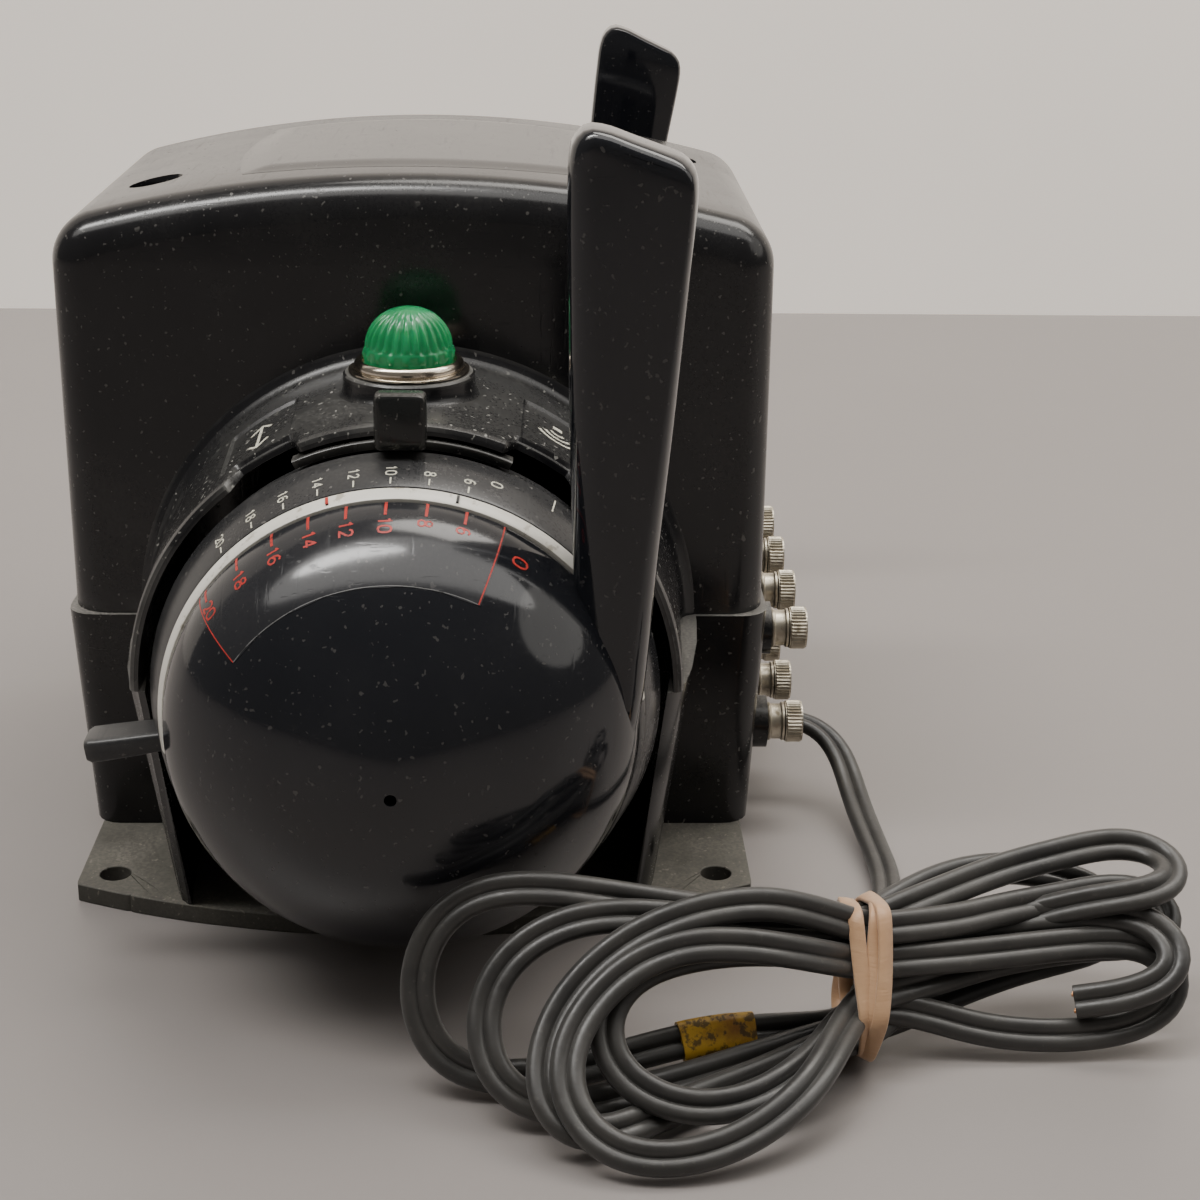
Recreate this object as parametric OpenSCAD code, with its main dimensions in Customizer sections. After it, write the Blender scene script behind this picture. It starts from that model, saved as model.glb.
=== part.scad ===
// Two-ended variable transformer: moulded case, a domed throttle and a dial ring at
// each end, signal levers, pilot lamps, binding posts, and the winding and rollers inside.

/* [View] */
// Piece to build

/* [Case] */
// Width of the upper cover at its foot (mm)
case_w = 152; // [120:1:190]
// Half length of the upper cover at its foot (mm)
case_hl = 53.3; // [40:0.1:80]
// Height of the crown of the roof above the bench (mm)
case_h = 150; // [120:1:180]
// Height of the line where cover and lower case meet (mm)
seam_z = 55; // [40:1:80]
// Wall of the mouldings (mm)
wall = 3; // [2:0.1:5]
// How far the lower case stands out past the cover (mm)
ledge = 1.0; // [0:0.1:3]

/* [Base plate] */
// Half length of the plate on its centre line (mm)
plate_hl = 98.9; // [80:0.1:120]
// Half width of the plate (mm)
plate_hw = 72.5; // [60:0.5:90]
// Height of the plate's top face (mm)
plate_z = 4; // [2:0.5:8]
// Half spacing of the fixing holes along the case (mm)
hole_x = 77.7; // [60:0.1:95]
// Half spacing of the fixing holes across the case (mm)
hole_y = 65; // [50:0.5:80]
// Radius of the fixing holes (mm)
hole_r = 3.3; // [2:0.1:5]

/* [Controls] */
// Height of the control axis (mm)
axis_z = 55; // [40:1:80]
// Radius of the throttle shaft (mm)
shaft_r = 4; // [3:0.5:6]
// Radius of the dome at its rim (mm)
dome_r = 45.6; // [35:0.1:55]
// Distance from the middle of the case to the dome's tip (mm)
dome_x = 149; // [130:1:170]
// How far the far handle rests behind the near one (degrees)
far_rest = -6; // [-20:1:20]
// Width of the signal tab (mm)
tab_w = 10; // [6:0.5:16]

/* [Terminals] */
// Spacing of the binding posts (mm)
post_pitch = 25.4; // [15:0.1:35]
// Radius of the knurled nuts (mm)
nut_r = 4.8; // [3:0.1:8]

/* [Hidden] */
$fn = 64;
hw = case_w / 2;
roof_r = (70 * 70 + 9 * 9) / (2 * 9);       // crown radius of the roof
plate_R = (66 * 66 + 13.4 * 13.4) / (2 * 13.4);
jewel_x = 72;
boss_top = 114.6;
post_x = [1.5 * post_pitch, 0.5 * post_pitch, -0.5 * post_pitch, -1.5 * post_pitch];
post_z = [46.2, 23];
// the power cord, from inside the grommet to where the hank takes it
cord_route = [[25, 69, 18], [25, 79, 18], [25.2, 87, 17.9], [27, 92.5, 16.6], [31, 96.6, 13.6],
  [37, 98.6, 10.2], [45, 99.6, 7.4], [54, 100.6, 5.2], [64, 101.8, 3.4], [76, 102.4, 2.6],
  [90, 100.6, 2.6], [104, 97.4, 2.7], [116, 94.4, 3.4], [124, 92, 4.2]];
// corners of the hank's outer shape: x, y, foot, top, radius
hank_left = [[150, 10, 1, 24, 7], [142.5, 31, 14, 36, 3], [140, 60, 1, 35, 6], [178, 36, 0.6, 12, 7],
  [160, 20, 0.6, 22, 8], [170, 60, 0.6, 22, 9], [152, 80, 1, 32, 9], [134, 80, 1, 32, 8],
  [152, 8, 1, 30, 6], [177, 58, 0.6, 12, 8]];
hank_right = [[134, 96, 1, 32, 8], [151, 96, 1, 31, 8], [112, 146, 3, 34, 6], [126, 148, 1, 26, 6],
  [146, 126, 0.6, 12, 7], [136, 142, 0.6, 14, 7], [108, 122, 4, 34, 6]];

// ---------------------------------------------------------------- helpers
module both() { children(); mirror([1, 0, 0]) children(); }
// profile (radius, x) turned about the control axis, from angle a0 (0 = rear, 90 = top)
module turn(a0 = 0, a = 360, n = 128)
  translate([0, 0, axis_z]) rotate([0, 90, 0]) rotate([0, 0, 90 + a0])
    rotate_extrude(angle = a, $fn = n) children();
module ring(x0, x1, ri, ro) turn() translate([ri, x0]) square([ro - ri, x1 - x0]);
module rod_x(x0, x1, r, n = 64)
  translate([x0, 0, axis_z]) rotate([0, 90, 0]) cylinder(h = x1 - x0, r = r, $fn = n);
// a block that stands at angle a on the control axis, from radius r0 to r1
module spoke(a, x0, x1, r0, r1, w)
  translate([0, 0, axis_z]) rotate([a, 0, 0]) translate([x0, r0, -w / 2])
    cube([x1 - x0, r1 - r0, w]);
module rod_r(a, x, r0, r1, r)
  translate([0, 0, axis_z]) rotate([a, 0, 0]) translate([x, r0, 0]) rotate([-90, 0, 0])
    cylinder(h = r1 - r0, r = r, $fn = 48);
module rbox(lx, ly, h, r) {
  translate([-lx, -ly + r, 0]) cube([2 * lx, 2 * (ly - r), h]);
  translate([-lx + r, -ly, 0]) cube([2 * (lx - r), 2 * ly, h]);
  for (i = [-1, 1], j = [-1, 1]) translate([i * (lx - r), j * (ly - r), 0])
    cylinder(h = h, r = r, $fn = 48);
}
module post(y0, y1, r, n = 48) rotate([-90, 0, 0]) translate([0, 0, y0])
  cylinder(h = y1 - y0, r = r, $fn = n);
// the eight binding posts, upper row first
function post_at(k) = [post_x[(k - 1) % 4], 0, post_z[floor((k - 1) / 4)]];

// ---------------------------------------------------------------- case
module plate_out(h, d) intersection() {
  translate([-plate_hl + plate_R, 0, 0]) cylinder(h = h, r = plate_R - d, $fn = 200);
  translate([plate_hl - plate_R, 0, 0]) cylinder(h = h, r = plate_R - d, $fn = 200);
  union() {
    rbox(87.5 - d, plate_hw - d, h, 7 - d);
    rbox(plate_hl, 60 - d, h, 2);
  }
}
module base_plate() color("#4a4a44") difference() {
  plate_out(plate_z, 0);
  for (i = [-1, 1], j = [-1, 1]) translate([i * hole_x, j * hole_y, -1])
    cylinder(h = 8, r = hole_r, $fn = 48);
}
// straight-sided solid between two outlines with the same number of corners
module loft(p, z0, q, z1) polyhedron(
  points = concat([for (a = p) [a[0], a[1], z0]], [for (a = q) [a[0], a[1], z1]]),
  faces = concat([[for (i = [0:len(p) - 1]) i]],
    [[for (i = [len(p) - 1:-1:0]) len(p) + i]],
    [for (i = [0:len(p) - 1]) let (j = (i + 1) % len(p)) [i, len(p) + i, len(p) + j]],
    [for (i = [0:len(p) - 1]) let (j = (i + 1) % len(p)) [i, len(p) + j, j]]));
function corner(x, y, r, a) = [for (i = [0:5]) [x + r * cos(a + 18 * i), y + r * sin(a + 18 * i)]];
function rrect(lx, ly, r) = concat(corner(lx - r, ly - r, r, 0), corner(r - lx, ly - r, r, 90),
  corner(r - lx, r - ly, r, 180), corner(lx - r, r - ly, r, 270));
module shell_form(d, z0, z1)
  loft(rrect(53 - d, 74.3 - d, 6 - d), z0, rrect(case_hl + ledge - d, hw + ledge - d, 6 - d), z1);
bay_top = [[50, 60.8], [57, 60.8], [70, 60], [85, 58], [93, 56.2], [97.2, 53.8], [98.8, 51.8]];
bay_foot = [[50, 52.4], [56, 52.3], [70, 52], [82, 51], [87, 49.8], [90, 48.7], [92, 47]];
function rev(p) = [for (i = [len(p) - 1:-1:0]) p[i]];
function flip(p) = [for (i = [len(p) - 1:-1:0]) [p[i][0], -p[i][1]]];
module bay_form() loft(rev(concat(bay_foot, flip(bay_foot))), plate_z,
  rev(concat(bay_top, flip(bay_top))), seam_z);
bay_in_top = [[48, 56.6], [70, 56], [85, 54.2], [93, 52.8], [104, 51.6]];
bay_in_foot = [[48, 48.2], [70, 48], [85, 47], [93, 46.2], [104, 45.2]];
module bay_in() loft(rev(concat(bay_in_foot, flip(bay_in_foot))), plate_z - 0.6,
  rev(concat(bay_in_top, flip(bay_in_top))), seam_z + 0.3);
module lower_case() color("#17171a") {
  difference() {
    union() {
      shell_form(0, plate_z, seam_z);
      both() bay_form();
    }
    shell_form(wall, plate_z - 0.5, seam_z + 0.5);
    both() difference() {
      bay_in();
      // keep the end wall of the case between the bay and the inside
      translate([0, -80, 0]) cube([case_hl + ledge, 160, 80]);
    }
    both() rod_x(40, 60, 13.2);
    for (k = [1:8]) translate(post_at(k)) post(60, 90, 3.2);
    translate([25, 0, 18]) post(60, 90, 5);
  }
  for (k = [1:8]) translate(post_at(k)) difference() {
    post(73.2, 79, 6);
    post(60, 90, 2.05);
  }
  // flat pad for the cord's grommet
  translate([25, 0, 18]) difference() {
    post(73.2, 75.6, 7.4);
    post(60, 90, 5);
  }
}
module roof_section(d) intersection() {
  translate([-hw + d, seam_z - d]) square([2 * (hw - d), case_h - seam_z]);
  translate([0, case_h - d - (roof_r - d)]) circle(r = roof_r - d, $fn = 240);
  union() {
    translate([-hw + 10, seam_z - d]) square([2 * hw - 20, 200]);
    translate([-hw + d, seam_z - d]) square([2 * (hw - d), 77 + d]);
    for (i = [-1, 1]) translate([i * (hw - 10), seam_z + 77]) circle(r = 10 - d, $fn = 48);
  }
}
module cover_form(d) intersection() {
  translate([-case_hl - 1, 0, 0]) rotate([90, 0, 90]) linear_extrude(2 * case_hl + 2)
    roof_section(d);
  translate([0, 0, 20]) rbox(case_hl - d, hw - d, 200, 6 - d * 0.8);
}
module top_cover() color("#141417") difference() {
  union() {
    cover_form(0);
    both() {
      turn(0, 180) polygon([[53.3, 50.5], [57.3, 50.5], [55.4, 97.4], [54.6, 98.5], [53.3, 98.5]]);
      translate([jewel_x, 0, 100]) cylinder(h = boss_top - 100, r = 13.4);
    }
  }
  difference() {
    cover_form(wall);
    // screw pillars
    for (i = [-1, 1]) translate([i * 21, -58 * i, 100]) cylinder(h = 60, r = 7.5);
  }
  both() {
    rod_x(40, 60, 13.2);
    rod_x(54.5, 99, 53.3, 128);
    // cut-outs in the collar's lip beside the signal tab
    for (a = [52, 112]) turn(a, 16) translate([50, 92]) square([10, 10]);
    // legend recesses
    for (a = [49, 114]) turn(a, 17) translate([56.3, 66]) square([4, 24]);
    translate([jewel_x, 0, 100]) cylinder(h = 20, r = 6.2);
  }
  // recessed roof screw holes
  for (i = [-1, 1]) translate([i * 21, -58 * i, 0]) {
    translate([0, 0, 136]) cylinder(h = 20, r = 5.5);
    translate([0, 0, 90]) cylinder(h = 60, r = 2.2);
  }
}
module cover_screws() color("#6a6862") for (i = [-1, 1]) translate([i * 21, -58 * i, 0])
  difference() {
    union() {
      translate([0, 0, 136]) cylinder(h = 3, r = 4.2);
      translate([0, 0, 92]) cylinder(h = 44, r = 2);
    }
    translate([-5, -0.5, 138]) cube([10, 1, 2]);
  }
module nameplate() color("#1e1e20") intersection() {
  rotate([90, 0, 90]) translate([0, 0, -37]) linear_extrude(74) difference() {
    translate([0, case_h - roof_r]) circle(r = roof_r + 0.8, $fn = 240);
    translate([0, case_h - roof_r]) circle(r = roof_r, $fn = 240);
  }
  translate([0, 0, 100]) rbox(37, 40, 60, 20);
}

// ---------------------------------------------------------------- inside
module core_laminations() color("#5b5a5e") difference() {
  translate([-24, -54, 12]) cube([48, 108, 86]);
  for (i = [-1, 1]) translate([-25, i * 26 - 12, 20]) cube([50, 24, 70]);
}
module transformer_winding() color("#8a4b22") {
  difference() {
    translate([-30, -37, 20.5]) cube([60, 74, 69]);
    translate([-24.4, -14.4, 19]) cube([48.8, 28.8, 72]);
  }
  both() for (r = [14.5, 27.5]) turn(18, 132) translate([r, 29.9]) square([7.5, 0.5]);
}
module core_brackets() color("#77767a") both() {
  translate([8, -54, plate_z]) cube([16, 108, 8]);
  translate([-0.01, -8, plate_z]) cube([42.01, 16, 7.9]);
  difference() {
    union() {
      translate([39, -8, plate_z]) cube([3, 16, axis_z - plate_z]);
      rod_x(39, 42, 11);
    }
    rod_x(30, 50, 7);
  }
}
module circuit_breaker() color("#3a2a20") {
  translate([-14, -71, 12]) cube([28, 14, 26]);
  for (i = [-1, 1]) translate([i * 8 - 2, -66, 38]) cube([4, 1, 8]);
  translate([-8, -57, 18]) cube([16, 3, 12]);
}
module rectifier_stack() color("#7d7f86") translate([-18, -64, 62]) {
  rotate([0, 90, 0]) cylinder(h = 36, r = 2);
  for (k = [0:4]) translate([4 + 6 * k, 0, 0]) rotate([0, 90, 0]) cylinder(h = 1.6, r = 8);
  translate([0, -2, -2]) cube([3, 12, 4]);
  translate([33, -2, -2]) cube([3, 12, 4]);
}

// ---------------------------------------------------------------- terminals
module binding_studs() color("#8f8a7c") for (k = [1:8]) translate(post_at(k)) {
  post(68, 86.6, 2);
  post(69.5, 72.6, 4);
}
module nut_collar(k) color("#b9ad93") translate(post_at(k)) difference() {
  post(79.15, 83.2, 4.5);
  post(70, 90, 2.06);
}
module thumb_nut(k) color("#a89c83") translate(post_at(k)) difference() {
  union() {
    post(83.3, 87.3, nut_r - 0.25);
    for (i = [0:23]) rotate([0, i * 15, 0]) translate([nut_r - 0.5, 83.5, -0.3])
      cube([0.5, 3.6, 0.6]);
  }
  post(70, 86.9, 2.06);
}

// ---------------------------------------------------------------- controls, near end
module fixed_tube() color("#9a958a") ring(39, 115.6, shaft_r + 0.05, 7);
module index_ring() color("#e8e3d2") turn() polygon([[7, 112.6], [44, 112.6], [44.5, 112.4],
  [47.2, 112.4], [46.3, 115.6], [44, 115.6], [43.4, 114.8], [10, 114.8], [10, 115.6], [7, 115.6]]);
module hub_flange() color("#8c877b") {
  ring(49, 68, 10.05, 13);
  ring(54.5, 57.5, 13, 20);
}
module signal_spring() color("#6f6f72") {
  ring(63.9, 65.9, 13.3, 14.5);
  for (a = [66, 114]) rod_r(a, 64.9, 14, 24, 0.5);
}
module lamp_bezel() color("#c9c2ae") translate([jewel_x, 0, 0]) difference() {
  union() {
    translate([0, 0, boss_top]) cylinder(h = 0.9, r = 11);
    translate([0, 0, boss_top + 0.9]) cylinder(h = 1.1, r1 = 11, r2 = 10);
  }
  translate([0, 0, 100]) cylinder(h = 20, r = 6.2);
}
module lamp_lens(c) color(c) translate([jewel_x, 0, boss_top + 2]) difference() {
  rotate_extrude($fn = 96) polygon([[0, 0], [9.3, 0], [9.3, 3], [8.7, 3.6], [8.3, 5.4],
    [7.3, 7.8], [5.8, 9.6], [3.9, 10.7], [2, 11.2], [0, 11.3]]);
  translate([0, 0, -1]) cylinder(h = 7.5, r = 5.4);
}
module lamp_bulb() color("#e5d9b5") translate([jewel_x, 0, 0]) {
  translate([0, 0, 109.4]) cylinder(h = 6.4, r = 4.6);
  translate([0, 0, 115.8]) cylinder(h = 3, r = 3.6);
  translate([0, 0, 118.8]) sphere(r = 3.6, $fn = 48);
}
dome_pts = [for (i = [0:18]) let (u = 1 - pow(1 - i / 18, 1.6))
  [dome_r * pow(max(0, 1 - pow(u, 1.8)), 1 / 1.7), 116 + (dome_x - 116) * u]];
dome_in = [for (i = [0:18]) let (u = 1 - pow(1 - i / 18, 1.6))
  [(dome_r - 3) * pow(max(0, 1 - pow(u, 1.8)), 1 / 1.7), 115.9 + (dome_x - 119) * u]];
handle_out = [[31.3, 166.5], [32.6, 169.2], [35.2, 170.1], [52.6, 164.3], [54.2, 162.6],
  [54.4, 159.5], [53.2, 142], [51, 115], [48.8, 91], [46.8, 66], [45.2, 50], [41.5, 36],
  [36, 28.5], [28, 36], [28.5, 60], [33.6, 78], [32.7, 91], [31.9, 115], [31.4, 140]];
module handle_dome() color("#15161b") difference() {
  union() {
    difference() {
      turn() polygon(concat([[0, 116]], dome_pts));
      turn() polygon(concat([[0, 115.8]], dome_in));
    }
    ring(116.2, 147, shaft_r, 9);
    difference() {
      translate([111, 0, 0]) rotate([90, 0, 90]) linear_extrude(13) polygon(handle_out);
      rod_x(100, 112.2, 49.2, 96);
      rod_x(100, 116, 47.8, 96);
      turn() polygon(concat([[0, 115.8]], dome_in));
    }
  }
  rod_x(145, 160, 1.2);
}
module throttle_shaft() color("#a5a29a") {
  rod_x(33, 142, shaft_r);
  ring(33, 36, shaft_r, 8);
  spoke(90, 33, 36, 6, 15, 8);
  rod_r(90, 34.5, 14, 22.4, 1);
}
module dial_ring() color("#1b1b1f") {
  turn() polygon([[10, 104], [14, 104], [14, 108.4], [45.4, 108.4], [47.6, 101], [47.6, 94],
    [49.8, 94], [49.8, 100.2], [50.6, 100.4], [47.3, 112], [46.6, 112.1], [10, 112.1]]);
  difference() {
    spoke(188, 99.6, 109, 45, 63.5, 4.7);
    turn() polygon([[0, 90], [47.6, 90], [47.6, 101], [45.4, 108.4], [0, 108.4]]);
  }
}
module ring_sleeve() color("#98948a") {
  ring(43.5, 112.1, 7.05, 10);
  spoke(90, 43.5, 46.5, 9.5, 27, 8);
  spoke(90, 33, 43.6, 24, 27, 8);
  rod_r(90, 34.5, 26.9, 34.6, 1);
}
module roller(r0) color("#2b2b2e") difference() {
  rod_r(90, 34.5, r0, r0 + 5, 4);
  rod_r(90, 34.5, r0 - 1, r0 + 6, 1.05);
}
module signal_lever() color("#202024") {
  ring(59, 62, 13.05, 18);
  spoke(90, 59, 62, 17.5, 52.4, 10);
  spoke(90, 61, 97, 50.95, 52.3, 9.4);
  turn(66, 48) translate([50.8, 95.5]) square([1.9, 3.7]);
  spoke(90, 98.9, 104, 51.4, 62.6, tab_w);
}

// ---------------------------------------------------------------- cord
module cord_grommet() color("#1a1a1a") translate([25, 0, 18]) {
  difference() {
    union() { post(70.4, 77.4, 4.9); post(75.7, 77.4, 6.4); post(70.4, 71.6, 6.4); }
    // a slot for the two flat cores
    for (i = [-1.6, 1.6]) translate([i, 0, 0]) post(60, 90, 1.62);
    translate([-1.6, 60, -1.62]) cube([3.2, 30, 3.24]);
  }
}

function unit(v) = v / norm(v);
function dir(p, i) = unit(p[min(i + 1, len(p) - 1)] - p[max(i - 1, 0)]);
function ring_at(p, i, w, h, n) = let (t = dir(p, i), s = unit(cross([0, 0, 1], t)), u = cross(t, s))
  [for (k = [0:n - 1]) p[i] + s * w * cos(360 * k / n) + u * h * sin(360 * k / n)];
module tube(p, w, h, n) polyhedron(
  points = [for (i = [0:len(p) - 1]) each ring_at(p, i, w, h, n)],
  faces = concat([[for (k = [n - 1:-1:0]) k]], [[for (k = [0:n - 1]) (len(p) - 1) * n + k]],
    [for (i = [0:len(p) - 2], k = [0:n - 1]) let (j = (k + 1) % n)
      [i * n + k, i * n + j, (i + 1) * n + j]],
    [for (i = [0:len(p) - 2], k = [0:n - 1]) let (j = (k + 1) % n)
      [i * n + k, (i + 1) * n + j, (i + 1) * n + k]]));
module power_cord() color("#2e2d2d") tube(cord_route, 3.2, 1.6, 12);
module lobe(c) hull() for (a = c) translate([a[0], a[1], a[2]])
  cylinder(h = a[3] - a[2], r = a[4], $fn = 16);
module cord_hank() color("#343232") {
  lobe(hank_left);
  lobe(hank_right);
  translate([130.4, 78, 2.5]) cube([22, 20, 26.4]);
}
module rubber_band() color("#c9a26b") difference() {
  translate([129, 84, 1]) cube([24.8, 8, 29.4]);
  translate([130.2, 80, 2.2]) cube([22.4, 16, 27]);
}
module cord_tag() color("#c98d1c") translate([147.4, 60, 6.4]) rotate([0, 0, 104])
  translate([-7, -3.8, -2.3]) cube([14, 7.6, 4.6]);

base_plate();
lower_case();
top_cover();
cover_screws();
nameplate();
core_laminations();
core_brackets();
transformer_winding();
circuit_breaker();
rectifier_stack();
binding_studs();
cord_grommet();
power_cord();
cord_hank();
rubber_band();
cord_tag();
fixed_tube();  // fixed_tube_near
mirror([1, 0, 0]) fixed_tube();  // fixed_tube_far
index_ring();  // index_ring_near
mirror([1, 0, 0]) index_ring();  // index_ring_far
hub_flange();  // hub_flange_near
mirror([1, 0, 0]) hub_flange();  // hub_flange_far
signal_spring();  // signal_spring_near
mirror([1, 0, 0]) signal_spring();  // signal_spring_far
lamp_bezel();  // lamp_bezel_near
mirror([1, 0, 0]) lamp_bezel();  // lamp_bezel_far
lamp_lens("#1f8a4c");  // lamp_lens_near
mirror([1, 0, 0]) lamp_lens("#a01818");  // lamp_lens_far
lamp_bulb();  // lamp_bulb_near
mirror([1, 0, 0]) lamp_bulb();  // lamp_bulb_far
module at_far_rest() translate([0, 0, axis_z]) rotate([far_rest, 0, 0])
  translate([0, 0, -axis_z]) mirror([1, 0, 0]) children();
handle_dome();  // handle_dome_near
at_far_rest() handle_dome();  // handle_dome_far
throttle_shaft();  // throttle_shaft_near
at_far_rest() throttle_shaft();  // throttle_shaft_far
roller(15.8);  // throttle_roller_near
at_far_rest() roller(15.8);  // throttle_roller_far
dial_ring();  // dial_ring_near
mirror([1, 0, 0]) dial_ring();  // dial_ring_far
ring_sleeve();  // ring_sleeve_near
mirror([1, 0, 0]) ring_sleeve();  // ring_sleeve_far
roller(28.2);  // ring_roller_near
mirror([1, 0, 0]) roller(28.2);  // ring_roller_far
signal_lever();  // signal_lever_near
mirror([1, 0, 0]) signal_lever();  // signal_lever_far
nut_collar(1);  // nut_collar_1
thumb_nut(1);  // thumb_nut_1
nut_collar(2);  // nut_collar_2
thumb_nut(2);  // thumb_nut_2
nut_collar(3);  // nut_collar_3
thumb_nut(3);  // thumb_nut_3
nut_collar(4);  // nut_collar_4
thumb_nut(4);  // thumb_nut_4
nut_collar(5);  // nut_collar_5
thumb_nut(5);  // thumb_nut_5
nut_collar(6);  // nut_collar_6
thumb_nut(6);  // thumb_nut_6
nut_collar(7);  // nut_collar_7
thumb_nut(7);  // thumb_nut_7
nut_collar(8);  // nut_collar_8
thumb_nut(8);  // thumb_nut_8
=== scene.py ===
import bpy
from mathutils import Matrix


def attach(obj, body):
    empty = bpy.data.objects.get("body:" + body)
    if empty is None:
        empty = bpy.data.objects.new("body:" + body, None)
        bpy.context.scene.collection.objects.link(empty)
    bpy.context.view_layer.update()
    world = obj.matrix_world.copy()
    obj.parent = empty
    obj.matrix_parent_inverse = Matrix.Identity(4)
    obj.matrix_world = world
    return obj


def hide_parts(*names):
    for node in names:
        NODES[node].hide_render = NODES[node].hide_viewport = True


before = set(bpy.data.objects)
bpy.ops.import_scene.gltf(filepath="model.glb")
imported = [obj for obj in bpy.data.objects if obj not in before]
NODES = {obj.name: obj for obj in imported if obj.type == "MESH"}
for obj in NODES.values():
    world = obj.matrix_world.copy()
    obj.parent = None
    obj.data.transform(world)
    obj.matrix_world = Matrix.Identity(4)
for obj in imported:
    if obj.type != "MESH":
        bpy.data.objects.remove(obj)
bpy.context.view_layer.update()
import bpy, bmesh, math
import numpy as np
from mathutils import Matrix

MM = 0.001
AX = 55.0                      # height of the control axis, mm
SIDES = (("near", 1), ("far", -1))
FAR_TILT = -6.0                # the far throttle stands this many degrees off the near one
TURN = 2 * math.pi

# ------------------------------------------------------------------ camera
cam_data = bpy.data.cameras.new("camera")
cam_data.sensor_width = 36.0
cam_data.lens = 65.02
cam_data.clip_start, cam_data.clip_end = 0.02, 20
cam = bpy.data.objects.new("camera", cam_data)
bpy.context.scene.collection.objects.link(cam)
cam.matrix_world = Matrix(((0.02489, -0.34293, 0.93903, 0.500211),
                           (0.99962, -0.00289, -0.02755, 0.026620),
                           (0.01216, 0.93936, 0.34273, 0.221433),
                           (0, 0, 0, 1)))
bpy.context.scene.camera = cam


# ------------------------------------------------------------------ mesh helpers (mm in, metres out)
def add_object(name, mesh, body=None, replaces=()):
    o = bpy.data.objects.new(name, mesh)
    bpy.context.scene.collection.objects.link(o)
    if body:
        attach(o, body)
    if replaces:
        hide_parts(*([replaces] if isinstance(replaces, str) else replaces))
    return o


def shade(mesh, angle):
    """Smooth shading, with edges over the angle kept sharp."""
    mesh.polygons.foreach_set("use_smooth", [True] * len(mesh.polygons))
    mesh.set_sharp_from_angle(angle=math.radians(angle))


def obj_from(name, verts, faces, mat, body, angle=35, replaces=()):
    me = bpy.data.meshes.new(name)
    me.from_pydata([tuple(c * MM for c in v) for v in verts], [], [tuple(int(i) for i in f) for f in faces])
    bm = bmesh.new()
    bm.from_mesh(me)
    bmesh.ops.remove_doubles(bm, verts=bm.verts, dist=1e-6)
    bmesh.ops.recalc_face_normals(bm, faces=bm.faces)
    bm.to_mesh(me)
    bm.free()
    shade(me, angle)
    if mat is not None:
        me.materials.append(mat)
    return add_object(name, me, body, replaces)


def to_side(mesh, sgn, tilt):
    """Turn a near-end mesh about the control axis, or mirror it to the far end and turn it there."""
    T = Matrix.Translation((0, 0, AX * MM)) @ Matrix.Rotation(math.radians(tilt), 4, "X")
    T = T @ Matrix.Translation((0, 0, -AX * MM))
    if sgn < 0:
        T = T @ Matrix.Diagonal((-1, 1, 1, 1))
    mesh.transform(T)
    if sgn < 0:
        mesh.flip_normals()


def placed_copy(name, mesh, sgn, tilt, mat, body, rep, angle=30):
    me = mesh.copy()
    me.name = name
    to_side(me, sgn, tilt)
    me.materials.clear()
    me.materials.append(mat)
    shade(me, angle)
    return add_object(name, me, body, rep)


def temp(v, f):
    return obj_from("tmp", v, f, None, None)


def boolean(a, cutter, op):
    md = a.modifiers.new("b", "BOOLEAN")
    md.object, md.operation, md.solver = cutter, op, "EXACT"
    dg = bpy.context.evaluated_depsgraph_get()
    me = bpy.data.meshes.new_from_object(a.evaluated_get(dg))
    old = a.data
    a.modifiers.clear()
    a.data = me
    bpy.data.meshes.remove(old)
    bpy.data.objects.remove(cutter, do_unlink=True)


def grid_faces(nu, nv, close_u=False, close_v=False):
    f = []
    for i in range(nu if close_u else nu - 1):
        for j in range(nv if close_v else nv - 1):
            a, b = i * nv + j, i * nv + (j + 1) % nv
            c, d = ((i + 1) % nu) * nv + (j + 1) % nv, ((i + 1) % nu) * nv + j
            f.append((a, b, c, d))
    return f


def end_caps(n, m):
    """Faces over the first and the last of n rings of m points."""
    return [tuple(range(m)), tuple((n - 1) * m + k for k in range(m))]


def sheet_faces(nu, nv):
    """A thin sheet: its top grid, its under grid after it, and the rim between them."""
    k = nu * nv
    rim = [i * nv for i in range(nu)] + [(nu - 1) * nv + j for j in range(1, nv)]
    rim += [i * nv + nv - 1 for i in range(nu - 2, -1, -1)] + list(range(nv - 2, 0, -1))
    top_grid = grid_faces(nu, nv)
    under = [tuple(i + k for i in f) for f in top_grid]
    return top_grid + under + [(a, b, b + k, a + k) for a, b in zip(rim, rim[1:] + rim[:1])]


def circle(n, phase=0.0):
    return [TURN * (i + phase) / n for i in range(n)]


def squircle(angle, power_x, power_y):
    """A point of a unit circle pulled out towards its square's corners."""
    c, s = math.cos(angle), math.sin(angle)
    return math.copysign(abs(c) ** power_x, c), math.copysign(abs(s) ** power_y, s)


def clamp(v):
    return min(1.0, max(0.0, v))


def window(v, lo, hi, w):
    """1 between lo and hi, falling to 0 over a width w inside each end."""
    return clamp((v - lo) / w) * clamp((hi - v) / w)


def lathe(profile, place, n=96, rfun=None, a0=0.0, a1=360.0, cap=False):
    """profile: (radius, height) pairs; place maps (r, angle, h) to xyz. cap closes the profile's ends."""
    full = abs(a1 - a0) >= 359.99
    m = n if full else n + 1
    verts = []
    for i in range(m):
        a = math.radians(a0 + (a1 - a0) * i / n)
        for r, h in profile:
            verts.append(place(rfun(r, a, h) if rfun else r, a, h))
    return verts, grid_faces(m, len(profile), close_u=full, close_v=cap)


def about_x(sign=1):
    return lambda r, a, h: (sign * h, r * math.cos(a), AX + r * math.sin(a))


def about_z(cx, cy):
    return lambda r, a, h: (cx + r * math.cos(a), cy + r * math.sin(a), h)


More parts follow.
